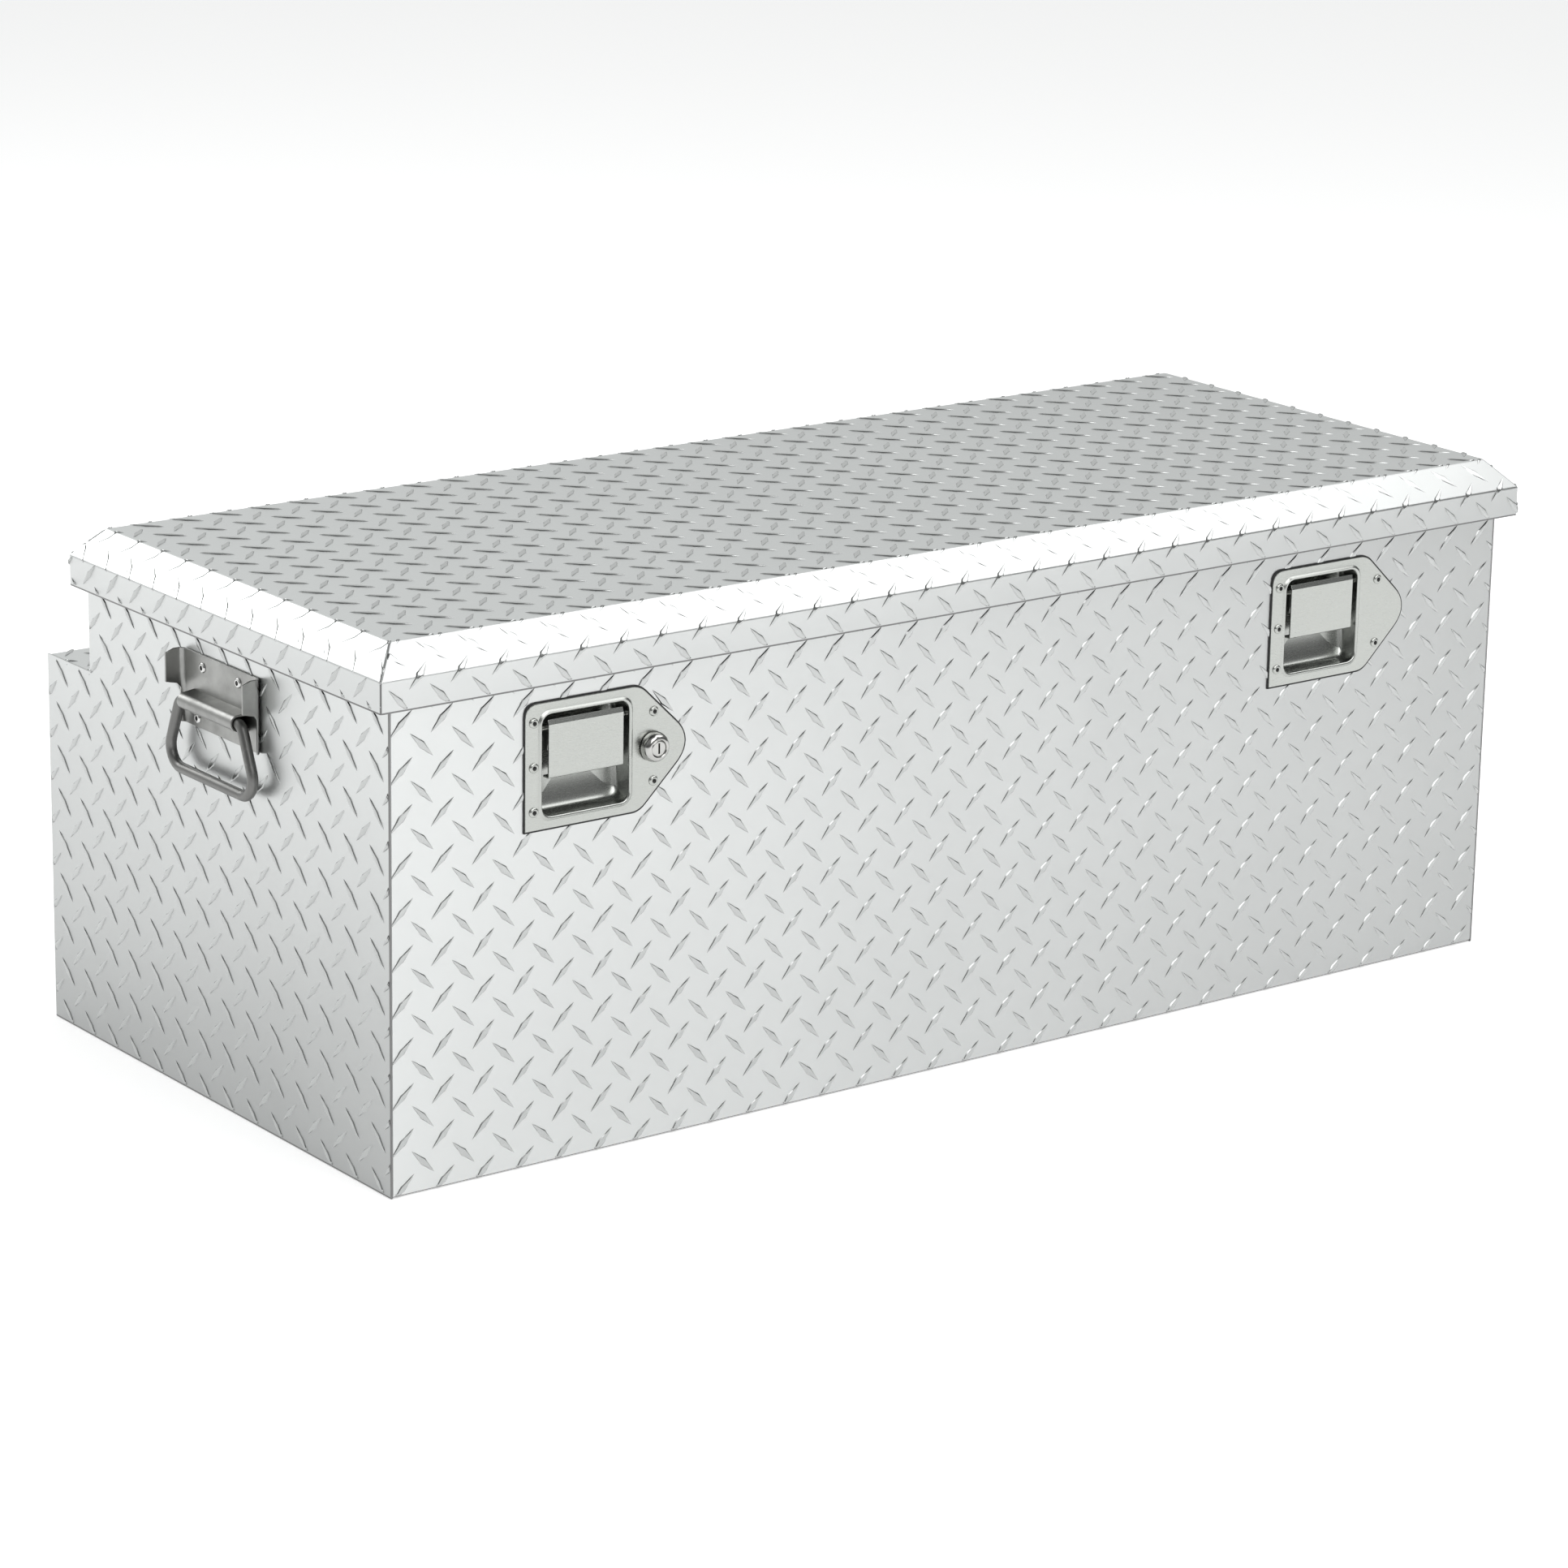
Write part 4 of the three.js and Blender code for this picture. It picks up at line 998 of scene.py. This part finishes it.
# %% [markdown]
# A thin black gasket shows all round the plate as a dark line, a little wider below and on
# the right, where it slipped. The lock on the left latch is a polished domed barrel with a
# key plug, turned on a lathe, so both are profiles spun about an axis. The keyway is cut
# right into the plug.

# %% Gaskets
GASKET_MARGIN, GASKET_SLIP, GASKET_INSET = 1.2 * MM, Vector((0.5 * MM, -0.4 * MM)), 2 * MM


def make_gasket(side):
    outer = [point + GASKET_SLIP for point in plate_outline(GASKET_MARGIN)]
    inner = plate_outline(-GASKET_INSET)
    loops = [(inner, 0.1), (outer, 0.1), (outer, 1.3), (inner, 1.15), (inner, 0.1)]
    points = [(*point, w * MM) for loop, w in loops for point in loop]
    return make_object(f"gasket_{side}", points, ring_faces(len(loops), len(outer), False))


for side in SIDES:
    gasket = stood_on_front(make_gasket(side), side)
    piece(gasket, "chest", RUBBER, [f"latch_gasket_{side}"])


# %% The lock
def lathe(name, profile, sides):
    """A solid turned about w from (radius, height) pairs.

    The profile starts and ends on the axis, or else closes on itself as a ring does."""
    is_ring = profile[0][0] > 0
    spun = profile if is_ring else profile[1:-1]
    turns = [2 * math.pi * i / sides for i in range(sides)]
    points = [(radius * math.cos(turn), radius * math.sin(turn), height)
              for radius, height in spun for turn in turns]
    faces = ring_faces(len(spun), sides, False)
    top = (len(spun) - 1) * sides
    if not is_ring:
        first, last = len(points), len(points) + 1
        points += [(0, 0, profile[0][1]), (0, 0, profile[-1][1])]
    for i in range(sides):
        j = (i + 1) % sides
        if is_ring:
            faces.append((top + i, top + j, j, i))
        else:
            faces += [(first, j, i), (last, top + i, top + j)]
    return make_object(name, points, faces)


LOCK_U = 127 * MM
dome = [(8 + 5 * math.cos(math.radians(t)), 5 + 7.4 * math.sin(math.radians(t)))
        for t in range(0, 91, 9)]
barrel = lathe("lock_dome", mm_points((7.2, -28), (9.5, -28), (9.5, 3.5), (12.4, 3.5), (13, 3.9),
                                      *dome, (7.4, 12.1), (7.2, 11.6)), 64)
plug = lathe("key_plug", mm_points((0, -28.5), (7, -28.5), (7, 11.4), (6.6, 11.8), (5.8, 12.0),
                                   (0, 12.0)), 48)
cut_away(plug, block((-0.9, -4.6, 7), (0.9, 4.6, 20)))
for thing, body, node in ((barrel, "chest", "lock_barrel"), (plug, "lock_plug", "lock_plug")):
    thing.data.transform(Matrix.Translation((LOCK_U, 0, 0)))
    piece(stood_on_front(thing, "left"), body, NICKEL, [node])
# %% [markdown]
# ## The end handles
#
# A steel bracket is riveted to each end. Its own ends are bent outwards as ears, and a
# half-round strap holds the top bar of the drop handle against it. The bracket is one bent
# strip whose ears are cut to shape. The bail is a round bar bent to a loop, swept along a
# path with round corners.

# %% Brackets
BAIL_BAR, BAIL_OUT = 4.75 * MM, 12 * MM
BRACKET_T, BRACKET_HALF, BRACKET_LOW, BRACKET_HIGH = 1.8 * MM, 63.5 * MM, -24 * MM, 41 * MM
EAR_OUT, BACK_OUT, EAR_BEND = 19 * MM, 1.3 * MM, 5.5 * MM
CUT_HALF = 93.5 * MM
STRAP_HALF, STRAP_FOOT, STRAP_OUT = 44 * MM, 1.5 * MM, 1.6 * MM
STRAP_PLAY = 2.4 * MM


def stood_on_end(thing, side):
    """Moves a mesh from a handle's own axes, about its pivot line, onto an end wall."""
    sign, pivot = SIDES[side], joints[f"bail_lift_{side}"]["pos_m"]
    return put_on(thing, (sign * HALF, pivot[1], pivot[2]), (0, sign, 0), (0, 0, 1))


def strap_side(radius, reach):
    """One face of the half-round strap with its two feet."""
    return [Vector((reach, STRAP_OUT)), *arc((0, BAIL_OUT), radius, 0, 180, 20),
            Vector((-reach, STRAP_OUT))]


def make_bracket(side):
    end = BRACKET_HALF - BRACKET_T / 2
    outline = strip_outline([(-end, EAR_OUT), (-end, BACK_OUT), (end, BACK_OUT),
                             (end, EAR_OUT)], BRACKET_T, EAR_BEND, 6)
    strip = drawn_out("strip", outline, BRACKET_LOW, BRACKET_HIGH, "uwv")
    for cut in (mm_points((-40, 4.8), (6, 4.8), (10, 8), (13, 21), (-40, 21)),
                mm_points((37, 21), (42, 8), (60, 8), (60, 21))):
        cut_away(strip, drawn_out("cut", cut, -CUT_HALF, CUT_HALF, "vwu"))
    outer = BAIL_BAR + STRAP_PLAY
    inner = outer - BRACKET_T
    loop = strap_side(outer, outer + STRAP_FOOT) + strap_side(inner, inner)[::-1]
    strap = drawn_out("strap", loop, -STRAP_HALF, STRAP_HALF, "vwu")
    return joined(f"handle_bracket_dressed_{side}", [soft_edges(strip, 0.35),
                                                     soft_edges(strap, 0.35)])


# %% Bails
# The bail's corners and the radius of each bend, in mm.
BAIL_CORNERS = (((-50, 0), 10), ((50, 0), 10), ((75, -61), 17), ((-75, -61), 17))
BAR_SIDES = 20


def closed_tube(name, path, radius):
    """A round bar along a closed flat loop."""
    turns = [2 * math.pi * j / BAR_SIDES for j in range(BAR_SIDES)]
    points, faces = [], []
    for i, point in enumerate(path):
        along = (path[(i + 1) % len(path)] - path[i - 1]).normalized()
        across, out = Vector((along.y, -along.x, 0)), Vector((0, 0, 1))
        points += [point + (across * math.cos(turn) + out * math.sin(turn)) * radius
                   for turn in turns]
        here, after = i * BAR_SIDES, (i + 1) % len(path) * BAR_SIDES
        for j in range(BAR_SIDES):
            k = (j + 1) % BAR_SIDES
            faces.append((here + j, here + k, after + k, after + j))
    return make_object(name, points, faces)


def make_bail(side):
    path = []
    for i, (corner, radius) in enumerate(BAIL_CORNERS):
        before, after = BAIL_CORNERS[i - 1][0], BAIL_CORNERS[(i + 1) % 4][0]
        path += round_corner(*mm_points(before, corner, after), radius * MM, 8)
    return closed_tube(f"bail_{side}", [Vector((*p, BAIL_OUT)) for p in path], BAIL_BAR)


for side in SIDES:
    piece(stood_on_end(make_bracket(side), side), "chest", BRACKET,
          [f"handle_bracket_{side}"])
    name = f"handle_bail_{side}"
    piece(stood_on_end(make_bail(side), side), name, HANDLE, [name])

# %% [markdown]
# ## Rivets
#
# Blind rivets hold the latches, the handles, the hinge, the ribs and the brackets. Each
# has a low domed head with a hole, and in the hole sits the stub of the mandrel that pulled
# it, painted near black so that it also stands for the shade inside the hole. The tree takes
# a list of points and a head, turns every head to the point's own direction, and realizes
# the result.

# %% A node tree that puts a part on every point
def make_rivet_tree():
    tree, given, out = new_tree("rivets_on_points", "GeometryNodeTree", {
        "Geometry": "Geometry", "Head": "Object", "Scale": 1.0, "Spin Seed": 3,
        "Material": "Material"}, {"Geometry": "Geometry"})
    head = add(tree, "GeometryNodeObjectInfo", {"Object": given["Head"]})
    outwards = add(tree, "GeometryNodeInputNamedAttribute", {"Name": "outwards"},
                   data_type="FLOAT_VECTOR")
    direction = next(socket for socket in outwards.outputs if socket.enabled)
    turn = add(tree, "FunctionNodeAlignRotationToVector", {"Vector": direction}, axis="Z")
    place = add(tree, "GeometryNodeInstanceOnPoints", {
        "Points": given["Geometry"], "Instance": head.outputs["Geometry"],
        "Rotation": turn.outputs["Rotation"]})
    angle = add(tree, "ShaderNodeCombineXYZ",
                {"Z": random_value(tree, 0.0, 6.28, given["Spin Seed"])})
    spin = add(tree, "GeometryNodeRotateInstances",
               {"Instances": place.outputs[0], "Rotation": angle.outputs[0]})
    size = add(tree, "GeometryNodeScaleInstances",
               {"Instances": spin.outputs[0], "Scale": given["Scale"]})
    return end_tree(tree, size.outputs[0], given, out)


RIVET_TREE = make_rivet_tree()
head = lathe("head", mm_points((0, -0.4), (4.5, -0.4), (4.6, 0.35), (4.2, 0.9), (3.5, 1.4),
                               (2.7, 1.6), (2.2, 1.45), (2.1, 0.6), (0, 0.6)), 16)
mandrel = lathe("mandrel", mm_points((0, 0.5), (1.9, 0.5), (1.8, 0.95), (0.9, 1.1), (0, 1.05)), 10)


def rivets(name, body, material, spots, scale, replaced=()):
    """Rivets on (place, direction) pairs: the heads, and the mandrels in them."""
    for part, shape, finish, nodes in (("heads", head, material, replaced),
                                       ("mandrels", mandrel, MANDREL, ())):
        thing = mesh_of(f"{name}_{part}", [place for place, _ in spots])
        outwards = thing.data.attributes.new("outwards", "FLOAT_VECTOR", "POINT")
        for item, (_, direction) in zip(outwards.data, spots):
            item.vector = direction
        grown(thing, RIVET_TREE, Head=shape, Scale=scale, Material=finish)
        piece(finish_mesh(thing), body, finish, nodes)


# %% Rivets that the model already places
HEAD_HEIGHT, PLATE_DROP = 2.2 * MM, 0.8 * MM


def node_rivets(name, count, axis, sign, sink, material, scale):
    """Rivets in place of numbered nodes, seated `sink` below each node's outer end."""
    nodes = [f"{name}_{i + 1}" for i in range(count)]
    spots = []
    for node in nodes:
        low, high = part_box(node)
        place = (low + high) / 2
        place[axis] = (high if sign > 0 else low)[axis] - sign * sink
        direction = [0, 0, 0]
        direction[axis] = sign
        spots.append((place, direction))
    family, side, _ = name.split("_")
    rivets(f"{family}_rivet_{side}", "chest", material, spots, scale, nodes)


for side, sign in SIDES.items():
    node_rivets(f"latch_{side}_rivet", 5, 1, -1, HEAD_HEIGHT + PLATE_DROP,
                STAINLESS, 0.95)
    node_rivets(f"handle_{side}_rivet", 4, 0, sign, HEAD_HEIGHT, RIVET, 1.0)

# %% [markdown]
# The hinge, the ribs and the strut brackets are riveted too, but the measured model had no
# room for those rivets. They are spaced along each part's own box.

# %% Rivets along the hinge, the ribs and the brackets
def spread(low, high, inset, count):
    """Evenly spaced places between two ends, kept in from both."""
    step = (high - low - 2 * inset) / (count - 1)
    return [low + inset + step * i for i in range(count)]


SMALL = 0.8
LEAF_OUT, LEAF_LINE, LEAF_INSET, LEAF_COUNT = 0.3 * MM + SHEET, 11 * MM, 20 * MM, 13
body_low, body_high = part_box("hinge_leaf_body")
leaf_low, leaf_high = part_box("hinge_leaf_lid")
for name, body, low, high, y, z in (
        ("hinge_body_rivet", "chest", body_low, body_high, UPPER_REAR_Y, body_low.z + LEAF_LINE),
        ("hinge_lid_rivet", "lid", leaf_low, leaf_high, lid_high.y, leaf_high.z - LEAF_LINE)):
    rivets(name, body, STAINLESS,
           [((x, y + LEAF_OUT, z), (0, 1, 0))
            for x in spread(low.x, high.x, LEAF_INSET, LEAF_COUNT)], SMALL)

RIB_FOOT, RIB_LINE, RIB_INSET, RIB_COUNT = 12 * MM, 7 * MM, 25 * MM, 5
rib_spots = []
for side in SIDES:
    low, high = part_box(f"lid_rib_{side}")
    rib_spots += [((x, y, low.z + RIB_FOOT), (0, 0, -1))
                  for x in (low.x + RIB_LINE, high.x - RIB_LINE)
                  for y in spread(low.y, high.y, RIB_INSET, RIB_COUNT)]
rivets("rib_rivet", "lid", PLAIN, rib_spots, SMALL)

STRUT_PLATE, STRUT_Y, STRUT_Z = 2 * MM, 14 * MM, 10 * MM
for side, sign in SIDES.items():
    low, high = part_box(f"strut_bracket_body_{side}")
    middle = (low + high) / 2
    face = (high.x - STRUT_PLATE) if sign > 0 else (low.x + STRUT_PLATE)
    rivets(f"strut_rivet_{side}", "chest", ZINC,
           [((face, middle.y + y, middle.z + z), (-sign, 0, 0))
            for z in (-STRUT_Z, STRUT_Z) for y in (-STRUT_Y, STRUT_Y)], 0.6)
for part in (head, mandrel):
    bpy.data.objects.remove(part)
# %% [markdown]
# ## The pieces that keep their own shape
#
# The walls, the hinge, the ribs, the bolts and the strut's ends are already right in the
# measured model, so they stay as they are and only get their finish.

# %% Finishes for the measured parts
FINISH_OF = {
    TREAD: ("body_wrap",),
    END_TREAD: ("end_panel",),
    PLAIN: ("lid_rib",),
    STAINLESS: ("hinge_leaf",),
    NICKEL: ("hinge_pin", "latch_pin", "strut_rod"),
    ZINC: ("strut_bracket", "latch_bolt", "latch_guide", "latch_spring", "lock_cam", "lock_nut",
           "striker"),
    BLACK: ("strut_cylinder",),
    RUBBER: ("rim_seal",),
}
for material, prefixes in FINISH_OF.items():
    for name, node in frame["nodes"].items():
        if name.startswith(prefixes):
            dress(node, material)
            for face in node.data.polygons:
                face.material_index = 0

# %% [markdown]
# ## Floor, light and camera
#
# Bright metal shows its surroundings, so a pale studio is built mostly from what the faces
# reflect. The front and the ends mirror the floor in front of them, the bevels mirror the
# space overhead, and the flat top mirrors the low part of the room behind, which is kept
# darker so that the top reads as a calm grey.

# %% The floor
FLOOR_HALF, FLOOR_DROP, FLOOR_GLOW = 30.0, 0.5 * MM, 0.42
floor = make_object("floor", [(x * FLOOR_HALF, y * FLOOR_HALF, 0) for x, y in
                              ((-1, -1), (1, -1), (1, 1), (-1, 1))], [(0, 1, 2, 3)])
floor.location.z = -FLOOR_DROP
pale = bpy.data.materials.new("studio_floor")
pale.use_nodes = True
fill(pale.node_tree, pale.node_tree.nodes["Principled BSDF"], {
    "Base Color": (0.93, 0.93, 0.93, 1), "Roughness": 0.9, "Emission Color": (1, 1, 1, 1),
    "Emission Strength": FLOOR_GLOW})
dress(floor, pale)
floor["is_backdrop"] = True


# %% Soft lights
def soft_light(name, place, target, size, power):
    """A large square area light turned towards a point."""
    lamp = bpy.data.lights.new(name, "AREA")
    lamp.size, lamp.energy = size, power
    thing = linked(name, lamp)
    thing.location = place
    aim = Vector(target) - Vector(place)
    thing.rotation_euler = aim.to_track_quat("-Z", "Y").to_euler()


soft_light("key", (-0.5, -3.5, 2.9), (-0.6, -0.9, 0), size=3.0, power=72)
soft_light("overhead", (1.95, -1.3, 3.3), (0.2, -0.4, 0.2), size=3.0, power=60)
soft_light("bevel", (-1.6, 3.4, 2.7), (0.6, -0.4, 0.2), size=2.2, power=48)

# %% The room around the box
# Each band has its height, as the sine of the angle over the horizon, and its grey.
ROOM_BACK = ((0.0, 0.66), (0.24, 0.78), (0.42, 0.92), (0.78, 0.90), (0.88, 0.20), (1.0, 0.12))
ROOM_FRONT = ((0.0, 0.10), (0.22, 0.14), (0.45, 0.30), (0.80, 0.32), (1.0, 0.12))


def room_bands(tree, height, stops):
    """A grey that changes with height, as walls, and then the ceiling, do."""
    bands = add(tree, "ShaderNodeValToRGB", {"Fac": height})
    elements = bands.color_ramp.elements
    while len(elements) < len(stops):
        elements.new(0.5)
    for element, (position, grey) in zip(elements, stops):
        element.position = position
        element.color = (grey * 0.99, grey * 1.005, grey, 1)
    return bands.outputs["Color"]


world = bpy.data.worlds.new("studio")
bpy.context.scene.world = world
world.use_nodes = True
sky = world.node_tree
direction = sky.nodes.new("ShaderNodeTexCoord").outputs["Generated"]
split = add(sky, "ShaderNodeSeparateXYZ", {0: direction}).outputs
behind = add(sky, "ShaderNodeMapRange", {"Value": split["Y"], "From Min": -0.25,
                                         "From Max": 0.45}, interpolation_type="SMOOTHSTEP")
walls = mixed(sky, behind.outputs["Result"], room_bands(sky, split["Z"], ROOM_FRONT),
              room_bands(sky, split["Z"], ROOM_BACK))
fill(sky, sky.nodes["Background"], {"Color": walls})
bpy.context.scene.view_settings.view_transform = "Standard"

# %% The camera
CAMERA_PLACE = Vector((-2.7892, -3.6967, 1.5564))
CAMERA_YAW, CAMERA_PITCH, CAMERA_ROLL = (math.radians(a) for a in (-36.954, 16.458, 0.967))
CAMERA_LENS = 120.92


def camera_turn():
    """The camera's right, up and backward directions as a rotation."""
    back = Vector((math.sin(CAMERA_YAW) * math.cos(CAMERA_PITCH),
                   -math.cos(CAMERA_YAW) * math.cos(CAMERA_PITCH), math.sin(CAMERA_PITCH)))
    level = Vector((0, 0, 1)).cross(back).normalized()
    steep = back.cross(level)
    right = level * math.cos(CAMERA_ROLL) + steep * math.sin(CAMERA_ROLL)
    up = steep * math.cos(CAMERA_ROLL) - level * math.sin(CAMERA_ROLL)
    return Matrix((right, up, back)).transposed()


lens = bpy.data.cameras.new("camera")
lens.lens, lens.sensor_width = CAMERA_LENS, 36.0
lens.clip_start, lens.clip_end = 0.05, 100.0
camera = linked("camera", lens)
camera.matrix_world = Matrix.Translation(CAMERA_PLACE) @ camera_turn().to_4x4()
bpy.context.scene.camera = camera
print("camera", [round(c, 3) for c in CAMERA_PLACE], "lens", CAMERA_LENS)

# %% [markdown]
# Last, the size of the dressed model is printed.

# %% Finish
low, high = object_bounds()
print("dressed size:", [round(high[i] - low[i], 4) for i in range(3)])
